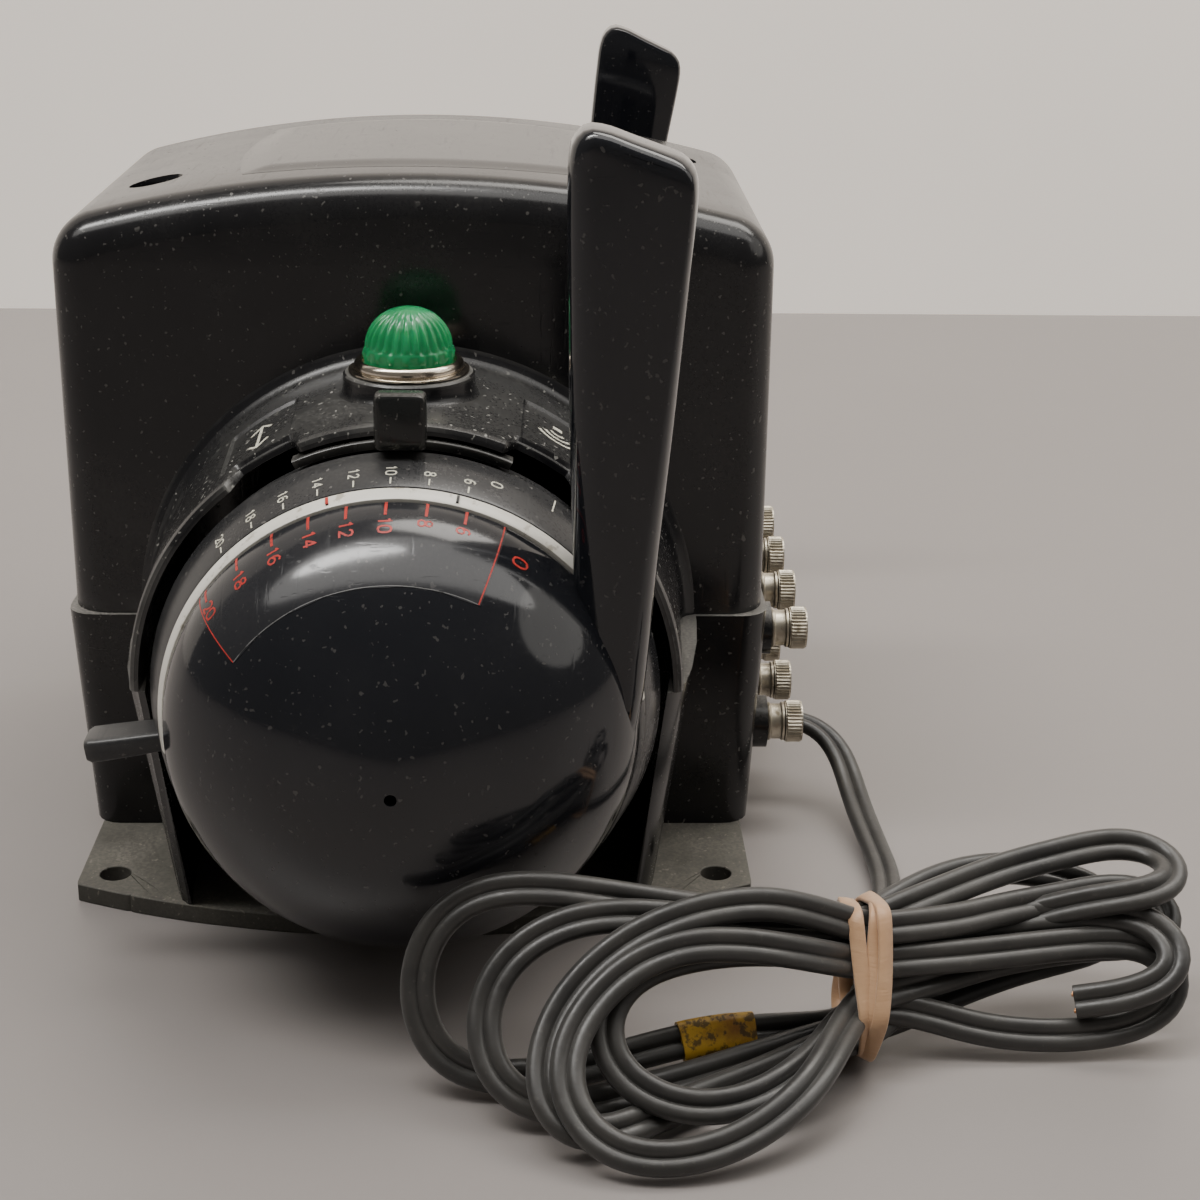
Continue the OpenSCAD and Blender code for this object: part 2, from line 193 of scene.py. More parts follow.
def about_y(cx, cz):
    return lambda r, a, h: (cx + r * math.sin(a), h, cz + r * math.cos(a))


def join(*parts):
    verts, faces = [], []
    for v, f in parts:
        k = len(verts)
        verts += list(v)
        faces += [tuple(i + k for i in q) for q in f]
    return verts, faces


def unit(v):
    return v / np.linalg.norm(v, axis=1)[:, None]


def arc_length(p):
    return np.concatenate([[0], np.cumsum(np.linalg.norm(np.diff(p, axis=0), axis=1))])


def resample(p, n):
    """n points at even steps along a line."""
    s = arc_length(p)
    want = np.linspace(0, s[-1], n)
    return np.stack([np.interp(want, s, p[:, k]) for k in range(p.shape[1])], 1)


def smooth_path(points, step):
    """A Catmull-Rom curve through the points, cut to even steps."""
    p = np.array(points, float)
    ext = np.vstack([2 * p[0] - p[1], p, 2 * p[-1] - p[-2]])
    out = []
    for i in range(1, len(ext) - 2):
        p0, p1, p2, p3 = ext[i - 1], ext[i], ext[i + 1], ext[i + 2]
        d1, d2, d3 = (max(np.linalg.norm(b - a), 1e-6) ** 0.5 for a, b in ((p0, p1), (p1, p2), (p2, p3)))
        m1 = (p1 - p0) / d1 - (p2 - p0) / (d1 + d2) + (p2 - p1) / d2
        m2 = (p2 - p1) / d2 - (p3 - p1) / (d2 + d3) + (p3 - p2) / d3
        m1, m2 = m1 * d2, m2 * d2
        for t in np.linspace(0, 1, 24, endpoint=False):
            out.append((2 * t ** 3 - 3 * t ** 2 + 1) * p1 + (t ** 3 - 2 * t ** 2 + t) * m1
                       + (-2 * t ** 3 + 3 * t ** 2) * p2 + (t ** 3 - t ** 2) * m2)
    out.append(ext[-2])
    out = np.array(out)
    return resample(out, max(2, int(round(arc_length(out)[-1] / step)) + 1))


def blur_loop(p, rounds):
    for _ in range(rounds):
        p = p * 0.5 + (np.roll(p, 1, 0) + np.roll(p, -1, 0)) * 0.25
    return p


def loop_tangents(p):
    return unit(np.roll(p, -1, 0) - np.roll(p, 1, 0))


def soften(line, rounds):
    for _ in range(rounds):
        line[1:-1] = line[1:-1] * 0.5 + (line[:-2] + line[2:]) * 0.25
    return line


def sweep(line, normals, section):
    """section: (across, up) pairs; normals: the up direction at each point."""
    tan = unit(np.gradient(line, axis=0))
    up = unit(normals - (normals * tan).sum(1)[:, None] * tan)
    side = np.cross(tan, up)
    n, m = len(line), len(section)
    verts = [tuple(line[i] + side[i] * s + up[i] * t) for i in range(n) for s, t in section]
    return verts, grid_faces(n, m, close_v=True) + end_caps(n, m)


# ------------------------------------------------------------------ materials
def material(name):
    m = bpy.data.materials.new(name)
    m.use_nodes = True
    return m, Graph(m.node_tree), m.node_tree.nodes["Principled BSDF"]


def tune(node, **values):
    """Set a node's inputs, each named with _ for a space."""
    for key, value in values.items():
        node.inputs[key.replace("_", " ")].default_value = value


class Graph:
    def __init__(self, nt):
        self.nt = nt
        self.co = self.add("ShaderNodeTexCoord").outputs["Object"]

    def add(self, kind, **kw):
        n = self.nt.nodes.new(kind)
        for k, v in kw.items():
            setattr(n, k, v)
        return n

    def link(self, a, b):
        self.nt.links.new(a, b)

    def feed(self, socket, value):
        """Link a socket's output to it, or set it to a number or a colour."""
        if isinstance(value, (int, float)):
            socket.default_value = value
        elif isinstance(value, tuple):
            socket.default_value = (*value, 1)
        else:
            self.link(value, socket)

    def noise(self, scale, detail=4, rough=0.55, stretch=None, dist=0.0):
        n = self.add("ShaderNodeTexNoise")
        tune(n, Scale=scale, Detail=detail, Roughness=rough, Distortion=dist)
        where = self.co
        if stretch:
            m = self.add("ShaderNodeMapping")
            tune(m, Scale=stretch)
            self.link(where, m.inputs["Vector"])
            where = m.outputs["Vector"]
        self.link(where, n.inputs["Vector"])
        return n.outputs["Fac"]

    def ramp(self, fac, lo, hi, bottom=0.0, top=1.0):
        """Grey from bottom at lo to top at hi."""
        r = self.add("ShaderNodeValToRGB")
        for k, (pos, grey) in enumerate(((lo, bottom), (hi, top))):
            r.color_ramp.elements[k].position = pos
            r.color_ramp.elements[k].color = (grey, grey, grey, 1)
        self.link(fac, r.inputs["Fac"])
        return r.outputs["Color"]

    def math(self, op, a, b, clamp=False):
        n = self.add("ShaderNodeMath", operation=op, use_clamp=clamp)
        self.feed(n.inputs[0], a)
        self.feed(n.inputs[1], b)
        return n.outputs[0]

    def mul(self, a, b, clamp=False):
        return self.math("MULTIPLY", a, b, clamp)

    def plus(self, a, b, clamp=False):
        return self.math("ADD", a, b, clamp)

    def mix(self, fac, a, b):
        n = self.add("ShaderNodeMix", data_type="RGBA")
        self.link(fac, n.inputs["Factor"])
        self.feed(n.inputs[6], a)
        self.feed(n.inputs[7], b)
        return n.outputs[2]

    def bump(self, height, strength, distance, into=None):
        n = self.add("ShaderNodeBump")
        tune(n, Strength=strength, Distance=distance)
        self.link(height, n.inputs["Height"])
        if into is not None:
            self.link(into, n.inputs["Normal"])
        return n.outputs["Normal"]

    def upness(self):
        g = self.add("ShaderNodeNewGeometry")
        s = self.add("ShaderNodeSeparateXYZ")
        self.link(g.outputs["Normal"], s.inputs[0])
        return s.outputs["Z"]

    def edge(self):
        return self.ramp(self.add("ShaderNodeNewGeometry").outputs["Pointiness"], 0.53, 0.59)


def phenolic(name, base=(0.0065, 0.0065, 0.0075), rough=0.16, dust=0.35, speck=0.5, top=0.25,
             dust_col=(0.20, 0.19, 0.175), scratch=0.35, wear=0.25, coat=0.0):
    """Moulded black plastic: gloss, scratches, lint specks, dust on what faces up, worn edges."""
    m, g, b = material(name)
    cloud = g.noise(14, 6, 0.62)
    blotch = g.noise(55, 5, 0.6, dist=0.3)
    fine = g.noise(1400, 2, 0.5)
    small = g.ramp(g.noise(900, 1, 0.4), 0.70, 0.735)
    large = g.mul(g.ramp(g.noise(330, 2, 0.5), 0.715, 0.75), g.ramp(blotch, 0.5, 0.6))
    lines = g.math("MAXIMUM", g.ramp(g.noise(60, 3, 0.6, stretch=(1, 14, 1.6)), 0.60, 0.72),
                   g.ramp(g.noise(90, 3, 0.6, stretch=(9, 1, 12)), 0.63, 0.72))
    up = g.mul(g.ramp(g.upness(), 0.35, 1.0), top)
    film = g.plus(g.mul(g.ramp(cloud, 0.42, 0.62), dust * 0.35), up)
    film = g.mul(film, g.ramp(blotch, 0.3, 0.7, 0.35), True)
    dots = g.mul(g.math("MAXIMUM", small, large), speck, True)
    mask = g.plus(g.mul(film, g.ramp(fine, 0.35, 0.65, 0.45)), dots, True)
    if wear:
        rubbed = g.mul(g.edge(), g.ramp(blotch, 0.4, 0.62, 0.1))
        mask = g.plus(mask, g.mul(rubbed, wear), True)
    tint = g.mix(cloud, base, tuple(c * 1.7 for c in base))
    g.link(g.mix(mask, tint, dust_col), b.inputs["Base Color"])
    gloss = g.plus(g.ramp(cloud, 0.3, 0.7, rough * 0.8, rough * 1.35), g.mul(mask, 0.55))
    g.link(g.plus(gloss, g.mul(lines, 0.10 * scratch), True), b.inputs["Roughness"])
    waves = g.plus(g.mul(g.noise(22, 3, 0.5), 0.9), g.mul(fine, 0.012))
    g.link(g.bump(g.mul(lines, -1.0), 0.10 * scratch, 0.0002, g.bump(waves, 0.10, 0.0012)),
           b.inputs["Normal"])
    tune(b, IOR=1.48, Coat_Weight=coat, Coat_Roughness=0.08)
    return m


def metal(name, base, rough, tarnish, amount, brushed=(1, 1, 1)):
    m, g, b = material(name)
    cloud = g.noise(140, 5, 0.65)
    spots = g.ramp(g.noise(500, 3, 0.6), 0.52, 0.68)
    mask = g.mul(g.mul(g.ramp(cloud, 0.40, 0.68), spots), amount, True)
    soft = g.plus(mask, g.mul(g.ramp(cloud, 0.35, 0.75), amount * 0.35), True)
    g.link(g.mix(soft, base, tarnish), b.inputs["Base Color"])
    gloss = g.ramp(cloud, 0.3, 0.75, rough * 0.8, rough * 1.5)
    g.link(g.plus(gloss, g.mul(mask, 0.3), True), b.inputs["Roughness"])
    brush = g.bump(g.noise(900, 4, 0.6, stretch=brushed), 0.12, 0.0001)
    g.link(g.bump(spots, 0.15, 0.00005, brush), b.inputs["Normal"])
    tune(b, Metallic=1.0)
    return m


def rubber(name, base, light, rough=0.45, grain=700, streak=None, bump=0.25, sheen=0.15, speck=0.2):
    m, g, b = material(name)
    lines = g.noise(180, 4, 0.6, stretch=streak) if streak else g.noise(300, 4, 0.6)
    lint = g.mul(g.ramp(g.noise(800, 1, 0.5), 0.70, 0.74), speck)
    mask = g.plus(g.mul(g.ramp(g.noise(60, 5, 0.6), 0.35, 0.72), 0.6), lint, True)
    g.link(g.mix(mask, base, light), b.inputs["Base Color"])
    gloss = g.ramp(lines, 0.3, 0.7, rough * 0.8, rough * 1.25)
    g.link(g.plus(gloss, g.mul(mask, 0.1), True), b.inputs["Roughness"])
    height = g.plus(g.mul(g.noise(grain, 3, 0.5), 0.4), lines)
    g.link(g.bump(height, bump, 0.00025), b.inputs["Normal"])
    tune(b, Sheen_Weight=sheen, Sheen_Roughness=0.5)
    return m


def jewel(name, base, deep):
    m, g, b = material(name)
    g.link(g.mix(g.ramp(g.noise(160, 4, 0.6), 0.3, 0.7), base, deep), b.inputs["Base Color"])
    g.link(g.ramp(g.noise(300, 4, 0.6), 0.35, 0.7, 0.06, 0.20), b.inputs["Roughness"])
    g.link(g.bump(g.noise(260, 3, 0.5), 0.12, 0.0002), b.inputs["Normal"])
    # the faint emission in the jewel's own colour is a painted glow; the lamp itself is not lit
    tune(b, Transmission_Weight=0.45, IOR=1.5, Subsurface_Weight=0.6, Subsurface_Scale=0.6,
         Subsurface_Radius=(0.002, 0.006, 0.003), Emission_Color=(*base, 1), Emission_Strength=0.06)
    return m


def paint(name, base, worn, rough=0.4, scale=400, cover=0.62):
    """Printed or moulded marks with chips, and the painted highlight along the scale film's edge."""
    m, g, b = material(name)
    fade = g.mul(g.ramp(g.noise(scale * 0.2, 5, 0.6), 0.35, 0.8), 0.35)
    chips = g.plus(g.ramp(g.noise(scale, 4, 0.6), cover, cover + 0.08), fade, True)
    g.link(g.mix(chips, base, worn), b.inputs["Base Color"])
    g.link(g.ramp(chips, 0.0, 1.0, rough, min(1, rough * 1.5)), b.inputs["Roughness"])
    g.link(g.bump(g.noise(scale * 2, 3, 0.5), 0.15, 0.0001), b.inputs["Normal"])
    return m


def tag_paper():
    """Yellow printed sleeve with dark blots and dirty patches."""
    m, g, b = material("tag_paper")
    blot = g.ramp(g.noise(520, 4, 0.6), 0.50, 0.58)
    dirt = g.ramp(g.noise(120, 4, 0.6), 0.45, 0.68)
    yellow = g.mix(dirt, (0.62, 0.36, 0.03), (0.30, 0.13, 0.02))
    g.link(g.mix(g.mul(blot, 0.8), yellow, (0.05, 0.035, 0.02)), b.inputs["Base Color"])
    g.link(g.ramp(blot, 0.0, 1.0, 0.38, 0.6), b.inputs["Roughness"])
    g.link(g.bump(g.noise(700, 4, 0.6), 0.3, 0.0002), b.inputs["Normal"])
    return m


M_case = phenolic("case_phenolic", rough=0.15, dust=0.22, speck=0.35, top=0.03, scratch=0.5)
M_lower = phenolic("lower_phenolic", (0.0055, 0.0055, 0.0062), 0.18, 0.10, 0.25, 1.0,
                   (0.30, 0.285, 0.26), 0.5, 0.0)
M_collar = phenolic("collar_phenolic", (0.008, 0.008, 0.009), 0.24, 0.7, 0.9, 0.28,
                    (0.24, 0.235, 0.215), 0.8, 0.6)
M_dome = phenolic("dome_phenolic", (0.0055, 0.0062, 0.0085), 0.075, 0.10, 0.22, 0.04,
                  scratch=0.6, wear=0.15, coat=0.25)
M_ring = phenolic("ring_phenolic", (0.016, 0.0165, 0.018), 0.26, 0.35, 0.4, 0.18, scratch=0.6, wear=0.3)
M_lever = phenolic("lever_phenolic", (0.007, 0.008, 0.008), 0.18, 0.3, 0.5, 0.25, scratch=0.6, wear=0.5)
M_plate = phenolic("plate_moulding", (0.030, 0.029, 0.024), 0.42, 0.9, 0.5, 0.62,
                   (0.205, 0.190, 0.160), 0.8, 0.0)
M_name = phenolic("roof_film", (0.009, 0.009, 0.010), 0.10, 0.15, 0.3, 0.08, scratch=0.6, wear=0.1)
M_film = phenolic("scale_film", (0.0135, 0.014, 0.0165), 0.13, 0.16, 0.15, 0.08,
                  scratch=0.9, wear=0.0, coat=0.15)
# light grey strokes along the scale film's edge: a painted highlight, the glint of that edge
M_film_edge_highlight = paint("film_edge_highlight", (0.20, 0.20, 0.20), (0.03, 0.03, 0.03), 0.3, 500, 0.56)
M_nickel = metal("nickel_nuts", (0.58, 0.53, 0.43), 0.34, (0.21, 0.17, 0.11), 0.75)
M_bezel = metal("bezel_nickel", (0.80, 0.72, 0.60), 0.16, (0.30, 0.20, 0.11), 0.45)
M_steel = metal("inner_steel", (0.45, 0.44, 0.42), 0.35, (0.18, 0.13, 0.09), 0.6)
M_copper = metal("winding_copper", (0.55, 0.24, 0.11), 0.32, (0.20, 0.09, 0.05), 0.6, (1, 18, 18))
M_screw = metal("screw_steel", (0.30, 0.29, 0.27), 0.4, (0.10, 0.08, 0.06), 0.8)
M_cord = rubber("cord_vinyl", (0.0225, 0.0215, 0.0205), (0.062, 0.058, 0.051), 0.34, 900, None,
                0.22, 0.10, 0.35)
M_cut = rubber("cord_cut", (0.010, 0.010, 0.010), (0.05, 0.045, 0.04), 0.7, 900)
M_wire = metal("cord_copper", (0.60, 0.30, 0.14), 0.35, (0.2, 0.1, 0.05), 0.5)
M_band = rubber("band_latex", (0.46, 0.27, 0.145), (0.58, 0.37, 0.215), 0.42, 500, (1, 1, 9), 0.5, 0.3, 0.1)
M_grommet = rubber("grommet_rubber", (0.012, 0.012, 0.012), (0.05, 0.05, 0.045), 0.55, 800)
M_ivory = paint("index_ivory", (0.78, 0.76, 0.69), (0.45, 0.42, 0.35), 0.30, 260, 0.60)
M_white = paint("marks_cream", (0.72, 0.70, 0.58), (0.20, 0.19, 0.16), 0.45, 900, 0.60)
M_red = paint("marks_red", (0.52, 0.030, 0.022), (0.10, 0.012, 0.010), 0.35, 1100, 0.58)
M_green = jewel("jewel_green", (0.045, 0.44, 0.175), (0.015, 0.27, 0.095))
M_redj = jewel("jewel_red", (0.45, 0.012, 0.010), (0.25, 0.005, 0.005))
M_black = paint("marks_black", (0.02, 0.02, 0.02), (0.10, 0.10, 0.09), 0.5, 700)
M_brown = rubber("breaker_moulding", (0.045, 0.028, 0.018), (0.09, 0.06, 0.04), 0.5)
M_tag = tag_paper()
M_bulb = paint("bulb_glass", (0.75, 0.70, 0.55), (0.5, 0.42, 0.3), 0.15)


def dress(nodes, mat, bevel=0.0, seg=3):
    """A CAD node keeps its shape; it gets a finish, and softened edges by modifiers."""
    for n in nodes:
        o = NODES[n]
        o.data.materials.clear()
        o.data.materials.append(mat)
        if bevel:
            o.modifiers.new("weld", "WELD").merge_threshold = 2e-6
            bv = o.modifiers.new("bevel", "BEVEL")
            bv.width, bv.segments = bevel * MM, seg
            bv.limit_method, bv.angle_limit = "ANGLE", math.radians(30)
            bv.harden_normals = True
            bv.use_clamp_overlap = True
            o.data.polygons.foreach_set("use_smooth", [True] * len(o.data.polygons))
            o.modifiers.new("normals", "WEIGHTED_NORMAL").keep_sharp = True


def both(*names):
    return [n + "_" + side for n in names for side, sgn in SIDES]


# ------------------------------------------------------------------ the power cord
LEAD = [[25, 72, 18], [25, 79, 18], [25.2, 87, 17.9], [27, 92.5, 16.6], [31, 96.6, 13.6], [37, 98.6, 10.2],
        [45, 99.6, 7.4], [54, 100.6, 5.2], [64, 101.8, 3.4], [76, 102.4, 2.6], [90, 100.6, 2.6],
        [104, 97.4, 2.7], [116, 94.4, 3.4], [124, 92, 4.2]]
HANK = [
    # first turn: under the band, along the table, up and back over the top, then the low right loop
    [132, 90, 4.4], [140.5, 85, 4.3], [143.5, 77, 5], [146, 68, 6], [148.5, 58, 6.4], [151.5, 47, 5.4],
    [155, 36, 4.1], [157.6, 26, 3.8], [158.8, 18, 4.4], [158, 11.5, 6.2], [156.2, 7, 10],
    [153.8, 4.6, 15.5], [151, 4.4, 21.5], [148.3, 6.8, 28], [146.6, 12, 33.2], [145.8, 19, 35.6],
    [145.3, 28, 35.6], [144.5, 38, 33.8], [143.2, 48, 31.4], [141.3, 60, 28.5], [138, 74, 25.5],
    [134.6, 88, 23.2], [129, 95, 24], [123, 103, 25], [118.6, 112, 25.5], [116.6, 121, 25],
    [116.8, 129, 23.6], [118.2, 135.5, 21.8], [121.8, 139.8, 19.4], [126.2, 139.6, 16.6],
    [129, 135.4, 14.4], [130, 129, 12.8], [131, 121.5, 11.2], [133, 113, 9.3], [136.6, 104, 7.6],
    [140.6, 96, 6.3], [144, 88, 5.4],
    # second turn
    [147.5, 78, 4.8], [152.5, 67, 4.2], [158, 56, 3.9], [163.5, 44, 3.8], [167.8, 34, 4], [169, 26, 5.2],
    [167, 20, 8.2], [163, 17, 12.8], [158, 16.8, 18.2], [153.8, 20, 24], [151, 26, 28.6],
    [149.3, 34, 31.3], [148.7, 43, 31.9], [148.6, 53, 31], [147.3, 64, 29.3], [143.5, 76, 26.5],
    [138, 88, 24.2], [134, 96, 25.6], [129.8, 106, 27.6], [125.4, 116, 29.2], [121.6, 127, 30.4],
    [118.6, 136, 31], [118.2, 142.5, 31.2], [120.8, 147.6, 30.8], [126, 149.6, 29.8], [131, 147, 28.8],
    [133.2, 141.5, 28], [132.6, 134, 26.4], [130.4, 125, 23], [129.2, 116, 18.8], [131.2, 107, 14],
    [137.2, 99, 10.6], [143, 93, 8], [147.4, 88, 6.4],
    # third turn
    [151.5, 79, 5.6], [157.5, 69, 4.6], [164, 58, 4], [171, 47, 3.8], [176.8, 38, 4.2], [178, 31.5, 6.2],
    [174.2, 27.8, 9.8], [168, 27.6, 14.6], [162, 30.5, 20], [157.5, 36, 25.4], [154.5, 43, 29.9],
    [152.3, 51, 33], [150, 60, 34.3], [147.5, 69, 33.6], [144.5, 79, 29.8], [141.5, 88, 25.3],
    [138.8, 96, 24.3], [135.7, 106, 23.9], [131.2, 116, 23.8], [127.2, 127, 23.8], [124.6, 136, 24.2],
    [124, 142, 24], [125.2, 146.6, 23], [128.8, 148.9, 20.8], [132, 146.6, 18.4], [132.6, 141, 17],
    [132.2, 133, 16.4], [134.4, 124, 16.4], [135.6, 114, 15], [138.5, 105, 13.8], [142, 96, 13],
    [145.4, 88, 12.7],
    # fourth turn, the widest
    [151.5, 84.5, 12.5], [159, 81, 12.2], [166.5, 77.5, 11.3], [173.5, 72.5, 9.4], [179.5, 65, 6.8],
    [183.4, 56, 4.8], [184.6, 46.5, 4.2], [182.8, 38.8, 5.4], [178.8, 33.8, 8.2], [173.5, 31.4, 12.5],
    [167.5, 32.5, 17.5], [162, 37, 22.4], [157.8, 44, 26.8], [155.6, 53, 29.3], [154.8, 63, 29.2],
    [152.7, 73, 26.6], [148.6, 81, 22.8], [143.4, 88, 19], [141.5, 97, 18.6], [139.5, 107, 18.3],
    [137.5, 117, 18.3], [135.8, 128, 18.6], [135.2, 138, 18.7], [135.8, 144.5, 17.4], [138, 148, 14],
    [141, 147, 9.8], [143.6, 141, 6.4], [145, 132, 4.8], [145.5, 121, 4.6], [145.2, 110, 5.8],
    [144.4, 100, 8.4], [144, 93.5, 9.7], [145, 88, 10.2],
    # last turn, ending cut off inside the right-hand loops
    [149.5, 83, 9.6], [157.5, 78, 8.6], [165, 72, 8], [170.5, 64, 6.8], [172.3, 55, 6.4], [170.8, 46.5, 8],
    [167.6, 40.8, 11.2], [163.6, 38.4, 15.6], [159.6, 39.5, 20], [156, 44, 23.6], [153, 51, 25.2],
    [150, 61, 25.4], [147.3, 71, 24], [144, 80, 21], [140, 88, 18], [135.6, 96, 18.8], [132, 106, 19.8],
    [130.6, 116, 21], [130.6, 125, 22.2], [131.6, 134, 23.2], [133.6, 141, 23.2], [137.2, 145.8, 21.6],
    [141.6, 147.2, 18.8], [144.6, 144, 15.8], [145, 137, 13], [143.6, 128, 10.6],
]
ROUTE = soften(smooth_path(LEAD + HANK, 1.6), 6)


def across(v, tan):
    """The unit part of v that is square to the cord."""
    return unit(v - (v * tan).sum(1)[:, None] * tan)


def cord_normals():
    """Up along the lead, leaning outwards in the hank, with the twist spread evenly."""
    lead_end = np.argmin(np.linalg.norm(ROUTE - np.array(LEAD[-1]), axis=1))
    t = np.clip((np.arange(len(ROUTE)) - lead_end + 12) / 24, 0, 1)[:, None]
    nrm = across((1 - t) * np.array([0, 0, 1.0]) + t * np.array([0.80, -0.05, 0.60]), TAN)
    for _ in range(14):
        nrm[1:-1] = nrm[1:-1] * 0.4 + (nrm[:-2] + nrm[2:]) * 0.3
        nrm = across(nrm, TAN)
    return nrm


def twin_section(w=3.2, h=1.6, n=11):
    """Two round cores side by side with the tear groove between them."""
    pts = []
    groove = [(0.75, 1.50), (0.32, 1.12), (0.0, 0.88), (-0.32, 1.12), (-0.75, 1.50)]
    for s in (1, -1):
        for k in range(n):
            a = math.radians(-90 + 180 * k / (n - 1))
            pts.append((s * (w - h + h * math.cos(a)), s * h * math.sin(a)))
        pts += [(s * x, s * y) for x, y in groove]
    return pts


def strand(at, side, k):
    """One cut wire of a core: a short rod with a rounded tip, on a spiral about the core's middle."""
    a, far = k * 2.4, 0.16 + 0.13 * k ** 0.75 * 0.55
    c = end + es * (at + far * math.cos(a)) + eu * (far * math.sin(a))
    tip = 0.35 + 0.25 * ((k * 37) % 5) / 5
    verts = []
    for h, q in ((-0.3, 0.13), (tip - 0.06, 0.13), (tip, 0.07)):
        verts += [tuple(c + et * h + es * q * math.cos(b) + eu * q * math.sin(b)) for b in circle(side)]
    return verts, grid_faces(3, side, close_v=True) + end_caps(3, side)


TAN = unit(np.gradient(ROUTE, axis=0))
NRM = cord_normals()
cord = obj_from("power_cord_twin", *sweep(ROUTE, NRM, twin_section()), M_cord, "case", 50,
                ("power_cord", "cord_hank"))
end, et, eu = ROUTE[-1], TAN[-1], NRM[-1]
es = np.cross(et, eu)
strands = join(*[strand(at, 8, k) for at in (-1.55, 1.55) for k in range(8)])
cores = obj_from("cord_strands", *strands, M_wire, "case", 40)
cutface = obj_from("cord_cut_face", *sweep(np.array([end - et * 0.2, end + et * 0.12]), np.array([eu, eu]),
                                           [(s * 0.97, t * 0.93) for s, t in twin_section()]),
                   M_cut, "case", 40)


# ------------------------------------------------------------------ stage
def plain(name, col, rough):
    m, g, b = material(name)
    patches = g.ramp(g.noise(3.0, 5, 0.6), 0.3, 0.7)
    g.link(g.mix(patches, col, tuple(x * 0.93 for x in col)), b.inputs["Base Color"])
    g.link(g.bump(g.noise(300, 3, 0.5), 0.05, 0.0002), b.inputs["Normal"])
    tune(b, Roughness=rough)
    return m


def flat(name, pts, mat):
    me = bpy.data.meshes.new(name)
    me.from_pydata(pts, [], [tuple(range(len(pts)))])
    me.materials.append(mat)
    add_object(name, me)


def area(name, loc, size_x, size_y, power, col, turn=(0, 0, 0)):
    light = bpy.data.lights.new(name, "AREA")
    light.shape = "ELLIPSE"
    light.size, light.size_y = size_x, size_y
    light.energy, light.color = power, col
    o = add_object(name, light)
    o.location = loc
    o.rotation_euler = tuple(math.radians(a) for a in turn)


flat("floor", [(-0.50, -2.6, 0), (3, -2.6, 0), (3, 2.6, 0), (-0.50, 2.6, 0)],
     plain("floor_grey", (0.262, 0.240, 0.230), 0.40))
M_wall = plain("wall_cream", (0.70, 0.655, 0.60), 0.8)
tune(M_wall.node_tree.nodes["Principled BSDF"], Emission_Color=(0.60, 0.545, 0.49, 1), Emission_Strength=0.92)
flat("wall", [(-1.6, -4, -1.5), (-1.6, 4, -1.5), (-1.6, 4, 3.2), (-1.6, -4, 3.2)], M_wall)
world = bpy.data.worlds.new("world")
bpy.context.scene.world = world
world.use_nodes = True
tune(world.node_tree.nodes["Background"], Color=(0.50, 0.475, 0.45, 1), Strength=0.30)
area("ceiling_wide", (0.34, -0.05, 1.6), 0.85, 4.2, 24, (1, 0.975, 0.94))
area("ceiling_tube", (0.20, -0.72, 1.75), 0.26, 1.5, 20, (1, 0.985, 0.96))
area("ceiling_back", (-0.55, 0.9, 1.9), 0.7, 2.4, 34, (1, 0.96, 0.9))
area("side_soft", (0.3, 2.6, 1.4), 2.2, 1.6, 10, (1, 0.96, 0.9), (62, 0, 180))

# ------------------------------------------------------------------ case
dress(["base_plate"], M_plate, 0.9)
dress(["lower_case"], M_lower, 0.7)
dress(["cover_screws"], M_screw, 0.3, 2)
dress(["core_laminations", "core_brackets", "rectifier_stack"]
      + both("fixed_tube", "hub_flange", "throttle_shaft", "ring_sleeve", "signal_spring"), M_steel, 0.25, 2)
dress(["transformer_winding"], M_copper, 1.2)
dress(["circuit_breaker"], M_brown, 0.5)
dress(["cord_grommet"], M_grommet, 0.4)
dress(both("throttle_roller", "ring_roller"), M_black, 0.4)
dress(both("lamp_bulb"), M_bulb)

# the top cover: half width, half length and crown height, its roof's radius, and its edges' radii
HW, HL, CR = 76.0, 53.3, 150.0
ROOF = (70 * 70 + 81) / 18
R_CORNER, R_EDGE = 11.0, 8.5
DRUM_BASE = AX + 0.05


def cover_outline():
    """(y, z, outward y, outward z) around the cover's cross-section, from one foot to the other."""
    yc = HW - R_CORNER
    zc = CR - ROOF + math.sqrt((ROOF - R_CORNER) ** 2 - yc ** 2)
    top = math.atan2(zc - (CR - ROOF), yc)
    pts = [(HW, z, 1.0, 0.0) for z in np.linspace(55, zc - 4, 12)]
    for a in np.linspace(0, top, 16):
        pts.append((yc + R_CORNER * math.cos(a), zc + R_CORNER * math.sin(a), math.cos(a), math.sin(a)))
    for a in np.linspace(top, math.pi / 2, 40)[1:]:
        pts.append((ROOF * math.cos(a), CR - ROOF + ROOF * math.sin(a), math.cos(a), math.sin(a)))
    left = [(-y, z, -ny, nz) for y, z, ny, nz in pts[:-1]]
    return pts + left[::-1]


def cover_shell():
    out = cover_outline()
    flat_half = HL - R_EDGE
    rolled = [(flat_half + R_EDGE * math.sin(a), R_EDGE * (1 - math.cos(a)))
              for a in np.radians(np.linspace(0, 90, 9))]
    levels = [(-x, inset) for x, inset in rolled[::-1]]
    levels += [(x, 0.0) for x in np.linspace(-flat_half, flat_half, 9)[1:-1]] + rolled
    verts = [(x, y - ny * d, max(DRUM_BASE, z - nz * d)) for x, d in levels for y, z, ny, nz in out]
    n, m = len(levels), len(out)
    under = tuple(i * m for i in range(n)) + tuple(i * m + m - 1 for i in reversed(range(n)))
    return verts, grid_faces(n, m) + end_caps(n, m) + [under]


def drum_r(x):
    return 57.3 - (x - 53.3) * 1.9 / 44.1


